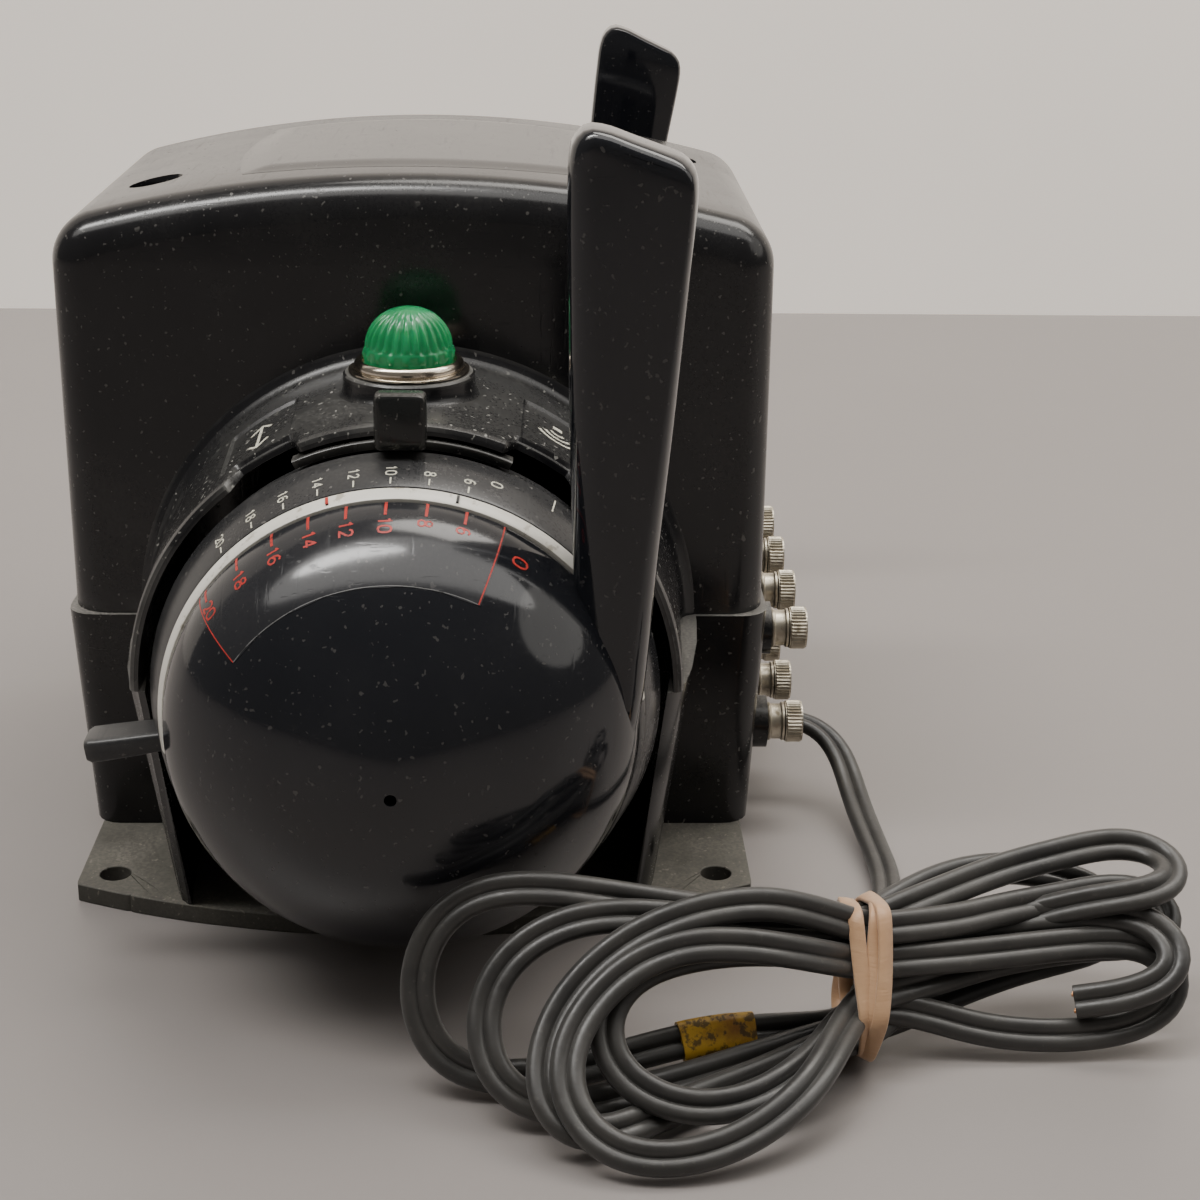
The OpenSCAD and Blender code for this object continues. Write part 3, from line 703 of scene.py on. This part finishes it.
def drum(sgn):
    """The half drum over the dial, with its two legend pockets and the notches in its lip."""
    angles = set(round(a, 3) for a in np.arange(0, 180.01, 1.5))
    angles |= {49, 49.6, 65.4, 66, 114, 114.6, 130.4, 131}
    angles |= {a + b for a in (0, 60) for b in (50.5, 51.3, 52.1, 53, 54, 66, 67, 67.9, 68.7, 69.5)}
    xs = [51.5, 53.35, 54.2, 55.4, 57, 61, 65.4, 66, 66.6, 72, 78, 84, 89.4, 90, 90.6, 93, 95.5, 97.0, 97.9,
          98.4]
    flare = {51.5: 3.4, 53.35: 3.2, 54.2: 1.5, 55.4: 0.55, 57: 0.1}
    rounded = {97.9: 0.35, 98.4: 1.1}
    inner = [(53.4, 98.5), (53.3, 97.9), (53.3, 90), (53.3, 75), (53.3, 53.35), (53.3, 51.5)]
    notch_x = 90.6
    verts = []
    for a in sorted(angles):
        notch = max(window(a, 51, 69, 3.2), window(a, 111, 129, 3.2))
        notch = notch * notch * (3 - 2 * notch)
        pocket = max(window(a, 49, 66, 0.6), window(a, 114, 131, 0.6))
        row = []
        for x in xs:
            r = drum_r(x) + flare.get(x, 0.0) - rounded.get(x, 0.0)
            r -= 0.55 * pocket * window(x, 65.4, notch_x, 0.6)
            r -= 0.8 * notch * clamp((x - notch_x) / 2.4)
            row.append((r, x))
        for r, x in row + inner:
            if x > notch_x:
                x = notch_x + (x - notch_x) * (1 - 0.80 * notch)
            ar = math.radians(a)
            verts.append((sgn * x, r * math.cos(ar), DRUM_BASE + r * math.sin(ar)))
    n, m = len(angles), len(xs) + len(inner)
    return verts, grid_faces(n, m, close_v=True) + end_caps(n, m)


def boss(sgn):
    """The lamp's boss, its foot spread over the drum."""
    radii = [0, 15.8, 15.0, 14.2, 13.7, 13.45, 13.4, 13.3, 12.9, 6.4, 6.3]
    above_drum = {2: -0.5, 3: 0.05, 4: 0.5, 5: 1.2}
    fixed = {0: 104, 1: 104, 7: 114.0, 8: 114.4, 9: 114.6, 10: 112}
    verts = []
    for a in circle(96):
        for k, r in enumerate(radii):
            x, y = 72 + r * math.cos(a), r * math.sin(a)
            zs = AX + math.sqrt(max(0, drum_r(min(97, max(HL, x))) ** 2 - y * y))
            z = fixed[k] if k in fixed else zs + above_drum[k] if k in above_drum else max(zs + 2.0, 112.2)
            verts.append((sgn * x, y, z))
    return verts, grid_faces(96, len(radii), close_u=True)


roof = temp(*cover_shell())
RECESS = [(0, 136), (5.5, 136), (5.5, 142.2), (5.6, 143), (6.1, 145), (7, 160), (0, 160)]
for sx, sy in ((21, -58), (-21, 58)):
    boolean(roof, temp(*lathe(RECESS, about_z(sx, sy), 64)), "DIFFERENCE")
roof.name = "top_cover_roof"
roof.data.materials.clear()
roof.data.materials.append(M_case)
shade(roof.data, 32)
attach(roof, "case")
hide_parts("top_cover")
moulding = join(drum(1), drum(-1), boss(1), boss(-1))
top = obj_from("top_cover_moulding", *moulding, M_case, "case", 32, "top_cover")
top.data.materials.append(M_collar)
for p in top.data.polygons:
    x, y, z = p.center / MM
    on_shell = abs(x) > 53.8 and z < 116 and math.hypot(y, z - AX) < 60.5
    if on_shell and abs(p.normal.x) < 0.99:
        p.material_index = 1


def roof_plate():
    """The thin plate bent over the roof, its rim feathered into the moulding."""
    n, half_x, half_y = 60, 36.8 / 0.9165 * 0.93, 39.8 / 0.9165 * 0.93
    verts = []
    for under in (False, True):
        for u in np.linspace(-1, 1, n):
            for w in np.linspace(-1, 1, n):
                # a square grid drawn into a round-cornered outline
                x, y = half_x * u * math.sqrt(1 - 0.16 * w * w), half_y * w * math.sqrt(1 - 0.16 * u * u)
                e = min(1.0, (1 - max(abs(u), abs(w))) / 0.16)
                lift = -0.25 if under else 0.04 + 0.70 * e ** 1.5 * (1.6 - 0.6 * e)
                verts.append((x, y, CR - ROOF + math.sqrt(ROOF ** 2 - y * y) + lift))
    return verts, sheet_faces(n, n)


obj_from("roof_plate_film", *roof_plate(), M_name, "case", 60, "nameplate")

# ------------------------------------------------------------------ lamps
BEZEL = [(6.3, 112.5), (6.3, 114.5), (12.0, 114.55), (12.25, 114.75), (12.2, 115.05), (11.6, 115.25),
         (11.0, 115.3), (11.15, 115.7), (11.0, 116.4), (10.6, 116.95), (10.1, 117.15), (9.65, 117.05),
         (9.5, 116.6), (9.5, 115.0), (6.3, 115.0)]
JEWEL = [(0, 115.6), (8.9, 115.6), (9.05, 116.3), (9.05, 117.0), (9.05, 117.5), (9.05, 117.9), (9.05, 118.3),
         (9.05, 118.7), (9.05, 119.1), (8.95, 119.5), (8.75, 119.75), (8.85, 120.1), (8.75, 120.8),
         (8.5, 121.8), (8.1, 122.8), (7.5, 123.8), (6.7, 124.8), (5.7, 125.7), (4.6, 126.4), (3.4, 126.95),
         (2.2, 127.3), (1.0, 127.5), (0.0, 127.55)]


def fluted(r, a, h):
    """A ring of beads at the jewel's foot, and flutes up to its crown."""
    if h < 119.6:
        w = max(0.0, 1 - abs(h - 118.3) / 1.25)
        return r + 0.42 * w * max(0.0, math.cos(18 * a)) ** 0.8 if r > 8 else r
    w = clamp((h - 119.6) / 0.8) * clamp((127.4 - h) / 1.6)
    return r * (1 - 0.085 * w * (0.5 - 0.5 * math.cos(26 * a)) ** 2)


for (side, sgn), mat in zip(SIDES, (M_green, M_redj)):
    place = about_z(sgn * 72, 0)
    obj_from("lamp_bezel_roll_%s" % side, *lathe(BEZEL, place, 120, cap=True), M_bezel, "case", 50,
             "lamp_bezel_%s" % side)
    obj_from("lamp_jewel_%s" % side, *lathe(JEWEL, place, 312, rfun=fluted), mat, "case", 60,
             "lamp_lens_%s" % side)

# ------------------------------------------------------------------ binding posts
POST_X, POST_Z = [38.1, 12.7, -12.7, -38.1], [46.2, 23.0]
KNURL_LO, KNURL_HI = 83.6, 87.0
COLLAR = [(2.15, 79.2), (4.3, 79.2), (4.42, 79.35), (4.42, 79.8), (4.2, 79.95), (4.1, 80.2), (4.1, 82.2),
          (4.2, 82.4), (4.42, 82.55), (4.45, 82.7), (4.45, 83.05), (4.3, 83.15), (2.15, 83.15)]
NUT_Y = [83.35, 83.5, 83.75, 84.0, 84.4, 84.9, 85.4, 85.9, 86.3, 86.6, 86.85, 87.1, 87.25]
NUT = [(2.15, 83.3), (4.3, 83.3)] + [(4.82 if KNURL_LO < y < KNURL_HI else 4.6, y) for y in NUT_Y]
NUT += [(4.3, 87.3), (3.4, 87.3), (3.2, 87.1), (2.5, 87.05), (2.3, 87.0), (0.0, 87.0), (0.0, 86.7),
        (2.15, 86.7)]
PITCH = 0.794
THREAD = [(2.0 if q % 2 else 1.72, 70.5 + q * PITCH / 2) for q in range(40)]
STUD = [(0, 68.0), (1.75, 68.0)] + THREAD + [(1.6, 86.5), (0.0, 86.55)]
STUD_HEAD = [(0, 69.5), (4, 69.5), (4, 72.6), (0, 72.6)]


def knurled(r, a, h):
    if r < 4.0:
        return r
    return r - 0.30 * window(h, KNURL_LO, KNURL_HI, 0.25) * (0.5 - 0.5 * math.cos(36 * a))


studs = []
for k in range(8):
    place = about_y(POST_X[k % 4], POST_Z[k // 4])
    obj_from("post_collar_%d" % (k + 1), *lathe(COLLAR, place, 64, cap=True), M_nickel, "collar_%d" % (k + 1),
             40, "nut_collar_%d" % (k + 1))
    obj_from("post_nut_%d" % (k + 1), *lathe(NUT, place, 288, rfun=knurled, cap=True), M_nickel,
             "nut_%d" % (k + 1), 28, "thumb_nut_%d" % (k + 1))
    studs += [lathe(STUD, place, 24), lathe(STUD_HEAD, place, 6)]
obj_from("post_studs", *join(*studs), M_nickel, "case", 40, "binding_studs")

# ------------------------------------------------------------------ controls
DOME_R, DOME_X, DOME_DEEP = 45.6, 116, 33


def dome_prof(n=72):
    """(radius, x) from the dome's rim to its tip."""
    pts = []
    for i in range(n + 1):
        u = 1 - (1 - i / n) ** 1.7
        pts.append((DOME_R * max(0.0, 1 - u ** 1.8) ** (1 / 1.7), DOME_X + DOME_DEEP * u))
    return pts


def dome_mesh():
    prof = [(0, 116.25), (43.0, 116.25), (45.0, 116.2), (45.45, 116.5)]
    prof += [p for p in dome_prof() if p[1] > 116.9]
    prof[-1] = (0, DOME_X + DOME_DEEP)
    return lathe(prof, about_x(), 192)


# the fin's left and right sides in (y, z), both from its foot to its top
FIN_LEFT = [(33.5, 31), (31.5, 35), (30, 45), (30.5, 60), (32.6, 74), (32.9, 84), (32.5, 95), (31.9, 115),
            (31.4, 140), (31.2, 158), (31.4, 164.5), (32.3, 167.6), (34.4, 169.5), (37.6, 169.4), (43.5, 167.4)]
FIN_RIGHT = [(33.5, 31), (38.0, 34.2), (42.4, 40), (44.6, 47), (45.6, 55), (46.9, 67), (48.8, 91), (51, 115),
             (53.2, 142), (54.2, 154.5), (54.35, 159.5), (53.7, 162.4), (51.6, 164.5), (48.4, 165.7),
             (43.5, 167.4)]


def fin_mesh(count=90):
    """The outline run out from the dome's back, then rolled over, each side by its own radius."""
    left, right = (resample(smooth_path([(0, a, b) for a, b in p], 0.5)[:, 1:], count)
                   for p in (FIN_LEFT, FIN_RIGHT))
    loop = np.vstack([left, right[-2:0:-1]])          # up the left side, down the right side
    n = len(loop)
    tan = loop_tangents(loop)
    inward = np.stack([tan[:, 1], -tan[:, 0]], 1)
    if ((loop.mean(0) - loop) * inward).sum() < 0:
        inward = -inward
    inward = unit(blur_loop(inward, 6))
    z = loop[:, 1]
    on_left = np.clip(inward[:, 0], 0, 1) ** 2
    on_right = np.clip(-inward[:, 0], 0, 1) ** 2
    on_top = (1 - on_left - on_right).clip(0, 1)
    roll_left = np.interp(z, [30, 60, 90, 120, 150, 170], [5, 6.5, 7.5, 6.5, 5.5, 5])
    roll_right = np.interp(z, [30, 45, 55, 70, 91, 115, 140, 165], [2, 2.4, 3.2, 4.6, 4.2, 3.2, 2.3, 1.8])
    wide = on_left * roll_left + on_right * roll_right + on_top * 2.4
    deep = on_left * 5.5 + on_right * 8 + on_top * 3.2
    front = np.interp(z, [30, 40, 62, 200], [118, 120.2, 124, 124])
    rings = []
    for back, x in ((1.6, 111.0), (0.6, 111.35), (0.1, 112.1), (0.0, 113.0)):
        rings.append(np.column_stack([np.full(n, x), loop + inward * back]))
    for a in np.radians(np.linspace(0, 90, 10)):
        rings.append(np.column_stack([front - deep * (1 - math.sin(a)),
                                      loop + inward * (wide * (1 - math.cos(a)))[:, None]]))
    verts = [tuple(p) for r in rings for p in r]
    faces = grid_faces(len(rings), n, close_v=True)
    for base in (0, (len(rings) - 1) * n):            # rungs from side to side close back and front
        faces.append((base, base + 1, base + n - 1))
        faces += [(base + k - 1, base + k, base + n - k, base + n - k + 1) for k in range(2, count - 1)]
        faces.append((base + count - 2, base + count - 1, base + n - (count - 2)))
    return verts, faces


BACK = [(0, 100), (49.6, 100), (49.6, 112.5), (47.9, 112.9), (47.9, 116.22), (0, 116.22)]
PINHOLE = [(0, 143), (1.15, 143), (1.15, 149.5), (0, 149.5)]
handle = temp(*dome_mesh())
boolean(handle, temp(*fin_mesh()), "UNION")
boolean(handle, temp(*lathe(BACK, about_x(), 160)), "DIFFERENCE")
boolean(handle, temp(*lathe(PINHOLE, about_x(), 32)), "DIFFERENCE")
bm = bmesh.new()
bm.from_mesh(handle.data)
bmesh.ops.remove_doubles(bm, verts=bm.verts, dist=2e-5)
bmesh.ops.dissolve_degenerate(bm, edges=bm.edges, dist=1e-5)
bmesh.ops.recalc_face_normals(bm, faces=bm.faces)
bm.to_mesh(handle.data)
bm.free()
placed_copy("throttle_dome_near", handle.data, 1, 0, M_dome, "throttle_near", "handle_dome_near")
placed_copy("throttle_dome_far", handle.data, -1, FAR_TILT, M_dome, "throttle_far", "handle_dome_far")
bpy.data.objects.remove(handle, do_unlink=True)

# figures as strokes on a 4 x 6 grid: x along the reading direction, y up
STROKES = {
    "0": [[(2, 0), (0.6, 0.5), (0, 2), (0, 4), (0.6, 5.5), (2, 6), (3.4, 5.5), (4, 4), (4, 2), (3.4, 0.5),
           (2, 0)]],
    "1": [[(0.9, 4.6), (2.2, 6), (2.2, 0)]],
    "2": [[(0.2, 4.6), (0.9, 5.7), (2.2, 6), (3.6, 5.3), (3.8, 4), (3, 2.6), (0.2, 0), (4, 0)]],
    "4": [[(3, 0), (3, 6), (0, 1.8), (4, 1.8)]],
    "6": [[(3.5, 5.4), (2.2, 6), (0.9, 5.2), (0.1, 3.2), (0.3, 1.1), (1.4, 0), (2.8, 0), (3.8, 1), (3.8, 2.5),
           (2.8, 3.4), (1.4, 3.3), (0.3, 2.2)]],
    "8": [[(2, 3.2), (0.6, 3.9), (0.4, 5.1), (1.3, 6), (2.7, 6), (3.6, 5.1), (3.4, 3.9), (2, 3.2), (0.4, 2.5),
           (0, 1.2), (0.9, 0), (3.1, 0), (4, 1.2), (3.6, 2.5), (2, 3.2)]],
}


def ribbon(pts, width):
    """A flat stroke as left and right rails, cut fine enough to lie on a curved surface."""
    p = []
    for a, b in zip(pts[:-1], pts[1:]):
        a, b = np.array(a, float), np.array(b, float)
        k = max(1, int(np.linalg.norm(b - a) / 0.35))
        p += [a + (b - a) * i / k for i in range(k)]
    p = np.array(p + [np.array(pts[-1], float)])
    d = np.gradient(p, axis=0)
    d /= np.maximum(np.linalg.norm(d, axis=1), 1e-6)[:, None]
    nrm = np.stack([-d[:, 1], d[:, 0]], 1)
    return p + nrm * width / 2, p - nrm * width / 2


class Marks:
    """Raised printed strokes, laid on a surface given as place(s, t, lift) in mm."""

    def __init__(self):
        self.v, self.f = [], []

    def stroke(self, pts, width, place, lift=0.13):
        l, r = ribbon(pts, width)
        n, k = len(l), len(self.v)
        for row, h in ((l, -0.25), (l, lift), (r, lift), (r, -0.25)):
            self.v += [place(a, b, h) for a, b in row]
        for q in range(4):
            w = (q + 1) % 4
            for i in range(k, k + n - 1):
                self.f.append((q * n + i, q * n + i + 1, w * n + i + 1, w * n + i))
        self.f += [(i, i + n, i + 2 * n, i + 3 * n) for i in (k, k + n - 1)]

    def figure(self, text, s0, t0, size, width, place):
        k = size / 6
        for n, ch in enumerate(text):
            for st in STROKES[ch]:
                self.stroke([(s0 + (x + n * 5.2) * k, t0 + (y - 3) * k) for x, y in st], width, place)

    def make(self, name, mat, body, sgn=1, tilt=0.0):
        o = obj_from(name, self.v, self.f, mat, body, 50)
        to_side(o.data, sgn, tilt)


def on_axis(r, x, nr, nx, a, lift):
    """The point at radius r, place x and angle a about the control axis, lifted along (nr, nx)."""
    r += lift * nr
    return (x + lift * nx, r * math.cos(a), AX + r * math.sin(a))


DOME_S = np.array(dome_prof(400))
DOME_L = arc_length(DOME_S)


def dome_at(s):
    """(radius, x) at a distance s along the dome from its rim."""
    return [float(np.interp(s, DOME_L, DOME_S[:, k])) for k in (0, 1)]


def on_dome(angle0):
    """s runs from the rim towards the tip, t across it towards smaller angles."""
    def place(s, t, lift):
        (r, x), (r2, x2) = (dome_at(s), dome_at(s + 0.3))
        dl = math.hypot(r2 - r, x2 - x) or 1
        return on_axis(r, x, (x2 - x) / dl, (r - r2) / dl, math.radians(angle0) - t / max(r, 5), lift)
    return place


def on_cone(angle0, x0=100.4, r0=50.6, x1=112.0, r1=47.3):
    """s runs from (x0, r0) towards (x1, r1), t across it towards smaller angles."""
    L = math.hypot(x1 - x0, r1 - r0)

    def place(s, t, lift):
        r, x = r0 + (r1 - r0) * s / L, x0 + (x1 - x0) * s / L
        return on_axis(r, x, (x1 - x0) / L, (r0 - r1) / L, math.radians(angle0) - t / r, lift)
    return place


def on_drum(angle0, x0):
    """s runs along the axis from x0, on the floor of a legend pocket."""
    def place(s, t, lift):
        r = drum_r(x0 + s) - 0.55 + lift
        a = math.radians(angle0) - t / r
        return (x0 + s, r * math.cos(a), DRUM_BASE + r * math.sin(a))
    return place


FIGURES = ("0", "6", "8", "10", "12", "14", "16", "18", "20")
RED_AT = (64.0, 73.4, 82.7, 92.3, 101.7, 111.0, 120.6, 131.0, 142.0)
WHITE_AT = (54.3, 74.1, 83.1, 91.8, 100.2, 108.6, 117.0, 125.6, 134.9)
FILM_END = 21.5                # how far the red scale's film reaches from the dome's rim


def red_scale(side, sgn, tilt):
    red = Marks()
    for ang, text in zip(RED_AT, FIGURES):
        pl = on_dome(ang)
        if text == "0":
            red.stroke([(1.2, 0), (FILM_END, 0)], 0.28, pl)
            red.figure(text, 8.2, 4.6, 3.0, 0.42, pl)
        else:
            red.stroke([(0.8, 0), (5.4, 0)], 0.55, pl)
            red.figure(text, 6.3 if len(text) == 2 else 6.6, 0, 2.5, 0.42, pl)
    red.stroke([(1.0, 0), (FILM_END, 0)], 0.22, on_dome(144.4))
    red.make("dome_scale_%s" % side, M_red, "throttle_%s" % side, sgn, tilt)
    # the thin light grey line along the film's edge is a painted highlight, the glint of that edge
    rim, pieces, arc = Marks(), 26, 80
    half = 35.6 * math.radians(arc / pieces) / 2
    for q in range(pieces):
        rim.stroke([(FILM_END, -half), (FILM_END, half)], 0.16, on_dome(64.2 + arc * (q + 0.5) / pieces), 0.11)
    rim.make("film_edge_%s" % side, M_film_edge_highlight, "throttle_%s" % side, sgn, tilt)


def white_scale(side, sgn):
    white = Marks()
    for ang, text in zip(WHITE_AT, FIGURES):
        pl = on_cone(ang)
        if text == "0":
            white.stroke([(0.6, 0), (4.6, 0)], 0.3, pl)
            white.figure(text, 4.8, -11.8, 2.2, 0.32, pl)
        else:
            white.stroke([(9.2, 0), (11.3, 0)], 0.32, pl)
            white.figure(text, 5.2 if len(text) == 2 else 6.8, 0, 2.0, 0.32, pl)
    white.make("dial_scale_%s" % side, M_white, "ring_%s" % side, sgn)


def scale_film(side, sgn, tilt):
    """The thin printed film on the dome that carries the red scale."""
    cols, rows, start = 110, 40, 0.9
    verts = []
    for lift in (0.09, -0.15):
        for j, ang in enumerate(np.linspace(63.4, 144.6, cols)):
            pl = on_dome(ang)
            for s in np.linspace(start, FILM_END + 0.1 + 0.3 * math.sin(j * 0.2), rows):
                verts.append(pl(s, 0, lift))
    film = obj_from("dome_film_%s" % side, verts, sheet_faces(cols, rows), M_film, "throttle_%s" % side, 40)
    to_side(film.data, sgn, tilt)


INDEX = [(8, 112.6), (46.9, 112.6), (47.15, 112.7), (47.15, 112.95), (46.1, 115.4), (45.9, 115.6), (44.4, 115.6),
         (43.6, 115.1), (8, 115.1)]


def index_ring(side, sgn):
    """Ivory over its upper arc only, with a red and a black index mark."""
    ivory = obj_from("index_ring_%s_ivory" % side, *lathe(INDEX, about_x(sgn), 240, cap=True), M_ivory, "case",
                     40, "index_ring_%s" % side)
    ivory.data.materials.append(M_ring)
    for p in ivory.data.polygons:
        ang = math.degrees(math.atan2(p.center.z - AX * MM, p.center.y)) % 360
        if not 6 < ang < 187:
            p.material_index = 1
    for colour, ang, width, mat in (("red", 106.3, 0.55, M_red), ("black", 76.1, 0.5, M_black)):
        mark = Marks()
        mark.stroke([(0.25, 0), (2.3, 0)], width, on_cone(ang, 112.9, 47.2, 115.5, 46.4))
        mark.make("index_mark_%s_%s" % (colour, side), mat, "case", sgn)


RING = [(11, 104.2), (14, 104.2), (14, 108.6), (45.2, 108.6), (47.4, 101.2), (47.4, 94.2), (49.5, 94.05),
        (49.75, 94.3), (49.75, 99.9), (50.1, 100.1), (50.6, 100.35), (50.65, 100.6), (49.2, 105.6), (47.5, 111.4),
        (47.2, 111.95), (46.7, 112.1), (11, 112.1)]
# the finger lever's cross-sections: radius, x from and to, thickness, offset
LEVER = [(46.5, 100.2, 108.4, 4.0, 0.0), (49.5, 100.0, 108.6, 4.2, 0.0), (52, 99.7, 108.9, 4.5, 0.0),
         (56, 99.6, 109, 4.7, 0.05), (60, 99.6, 109, 4.9, 0.1), (62.4, 99.8, 108.8, 5.0, 0.1),
         (63.3, 100.4, 108.3, 4.2, 0.1), (63.5, 101.4, 107.4, 2.6, 0.1)]


def dial_ring(side, sgn):
    """The dial's cone and skirt, with its finger lever: a thick tab with rounded edges."""
    body = temp(*lathe(RING, about_x(sgn), 240, cap=True))
    a0, n = math.radians(188), 32
    verts = []
    for r, x0, x1, thick, off in LEVER:
        for b in circle(n):
            u, w = squircle(b, 0.32, 0.42)
            t = off + thick / 2 * w
            verts.append((sgn * ((x0 + x1) / 2 + (x1 - x0) / 2 * u), r * math.cos(a0) - t * math.sin(a0),
                          AX + r * math.sin(a0) + t * math.cos(a0)))
    lever = temp(verts, grid_faces(len(LEVER), n, close_v=True) + end_caps(len(LEVER), n))
    boolean(body, lever, "UNION")
    placed_copy("dial_ring_%s_moulding" % side, body.data, 1, 0, M_ring, "ring_%s" % side,
                "dial_ring_%s" % side, 28)
    bpy.data.objects.remove(body, do_unlink=True)


def bar(sgn, y, x0, x1, z0, z1, e=0.5):
    """A block along X whose ends are chamfered by e."""
    pts = []
    for x, q in ((x0, e), (x0 + e, 0), (x1 - e, 0), (x1, e)):
        pts += [(sgn * x, sy * (y - q), z) for sy, z in ((-1, z0 + q), (1, z0 + q), (1, z1 - q), (-1, z1 - q))]
    return pts, grid_faces(4, 4, close_v=True) + end_caps(4, 4)


SPRING_EYE = [(13.1, 59.2), (17.9, 59.2), (17.9, 61.8), (13.1, 61.8)]
LIP = [(50.85, 95.6), (50.85, 99.1), (51.0, 99.2), (52.4, 99.2), (52.6, 99.0), (52.7, 98.6), (52.7, 95.6)]
TAB = ((98.95, 0.9), (99.2, 0.35), (99.8, 0.0), (102.9, 0.0), (103.6, 0.3), (103.95, 0.9))


def signal_lever(side, sgn):
    """Its eye on the axis, a strip under the drum, an arc along the lip and the rounded tab."""
    v, f = lathe(LIP, about_x(sgn), 64, a0=66.2, a1=113.8, cap=True)
    lip = (v, f + end_caps(65, len(LIP)))
    tab = []
    for x, q in TAB:
        for b in circle(48, 0.5):
            u, w = squircle(b, 0.22, 0.22)
            tab.append((sgn * x, (5.0 - q) * u, 112.0 + (5.55 - q) * w))
    parts = join(lathe(SPRING_EYE, about_x(sgn), 96, cap=True), bar(sgn, 5, 59.2, 61.8, AX + 17, AX + 52.3),
                 bar(sgn, 4.7, 60, 98.8, AX + 50.95, AX + 52.3), lip,
                 (tab, grid_faces(len(TAB), 48, close_v=True) + end_caps(len(TAB), 48)))
    obj_from("signal_lever_%s_moulding" % side, *parts, M_lever, "signal_%s" % side, 35,
             "signal_lever_%s" % side)


def drum_symbols(side, sgn):
    """Plain symbols in the drum's two pockets: a two-way arrow, and a source with three sound arcs."""
    sym = Marks()
    pl = on_drum(122.5, 78)
    sym.stroke([(-6.5, 0), (6.5, 0)], 0.7, pl, 0.05)
    for e in (-1, 1):
        sym.stroke([(e * 3.8, 2.4), (e * 6.8, 0), (e * 3.8, -2.4)], 0.7, pl, 0.05)
    pl = on_drum(57.5, 78)
    for rr in (2.4, 4.6, 6.8):
        arc = [(-4.2 + rr * math.cos(q), rr * math.sin(q) * 0.75) for q in np.linspace(-0.95, 0.95, 9)]
        sym.stroke(arc, 0.7, pl, 0.05)
    sym.stroke([(-5.6, -1.1), (-5.6, 1.1)], 1.6, pl, 0.05)
    sym.make("drum_symbols_%s" % side, M_white, "case", sgn)


for side, sgn in SIDES:
    tilt = 0.0 if sgn > 0 else FAR_TILT
    red_scale(side, sgn, tilt)
    white_scale(side, sgn)
    scale_film(side, sgn, tilt)
    index_ring(side, sgn)
    dial_ring(side, sgn)
    signal_lever(side, sgn)
    drum_symbols(side, sgn)


# ------------------------------------------------------------------ things on the cord
def hull_of(pts):
    """The convex outline of flat points."""
    pts = sorted(set((round(a, 2), round(b, 2)) for a, b in pts))

    def half(ps):
        h = []
        for p in ps:
            while len(h) > 1 and ((h[-1][0] - h[-2][0]) * (p[1] - h[-2][1])
                                  <= (h[-1][1] - h[-2][1]) * (p[0] - h[-2][0])):
                h.pop()
            h.append(p)
        return h[:-1]
    return np.array(half(pts) + half(pts[::-1]))


BAND = [(-1.5, 0.25), (-1.3, 0.48), (0, 0.55), (1.3, 0.48), (1.5, 0.25), (1.5, -0.25), (1.3, -0.45), (0, -0.5),
        (-1.3, -0.45), (-1.5, -0.25)]


def band_turn(hull, y, sway, phase, grow):
    """One turn of the band around the strands' outline: it sways along the cord and rolls as it goes."""
    ring = blur_loop(resample(np.vstack([hull, hull[:1]]), 161)[:-1], 10)
    ring = ring + unit(ring - hull.mean(0)) * grow
    tan = loop_tangents(ring)
    verts = []
    for (x, z), (tx, tz), a in zip(ring, tan, circle(len(ring))):
        roll = 0.5 * math.sin(2 * a + phase)
        for u, w in BAND:
            along = u * math.cos(roll) - w * math.sin(roll)
            out = u * math.sin(roll) + w * math.cos(roll)
            verts.append((x + tz * out, y + sway * math.sin(a + phase) + along, max(0.45, z - tx * out)))
    return verts, grid_faces(len(ring), len(BAND), close_u=True, close_v=True)


near_band = ROUTE[(ROUTE[:, 1] > 84.5) & (ROUTE[:, 1] < 91.5) & (ROUTE[:, 0] > 130)]
hull = hull_of([(x + 2.3 * math.cos(b), max(1.4, z + 2.3 * math.sin(b)))
                for x, y, z in near_band for b in circle(16)])
BAND_TURNS = ((86.4, 1.3, 0.4, 0.5), (89.2, 1.5, 2.6, 0.6), (88.0, 2.6, 4.4, 1.3))
turns = [band_turn(hull, *turn) for turn in BAND_TURNS]
band = obj_from("rubber_band_turns", *join(*turns), M_band, "case", 60, "rubber_band")

# the tag's sleeve, on the first turn's run along the table
k0, k1 = (int(np.argmin(np.linalg.norm(ROUTE - np.array(at), axis=1)))
          for at in ([146.2, 66.5, 6.2], [149.9, 53.0, 6.1]))
sleeve = [(3.75 * u, 2.1 * w) for u, w in (squircle(b, 0.75, 0.75) for b in circle(40))]
sleeve_mesh = sweep(ROUTE[k0:k1 + 1], NRM[k0:k1 + 1], sleeve)
tag = obj_from("cord_tag_sleeve", *sleeve_mesh, M_tag, "case", 50, "cord_tag")
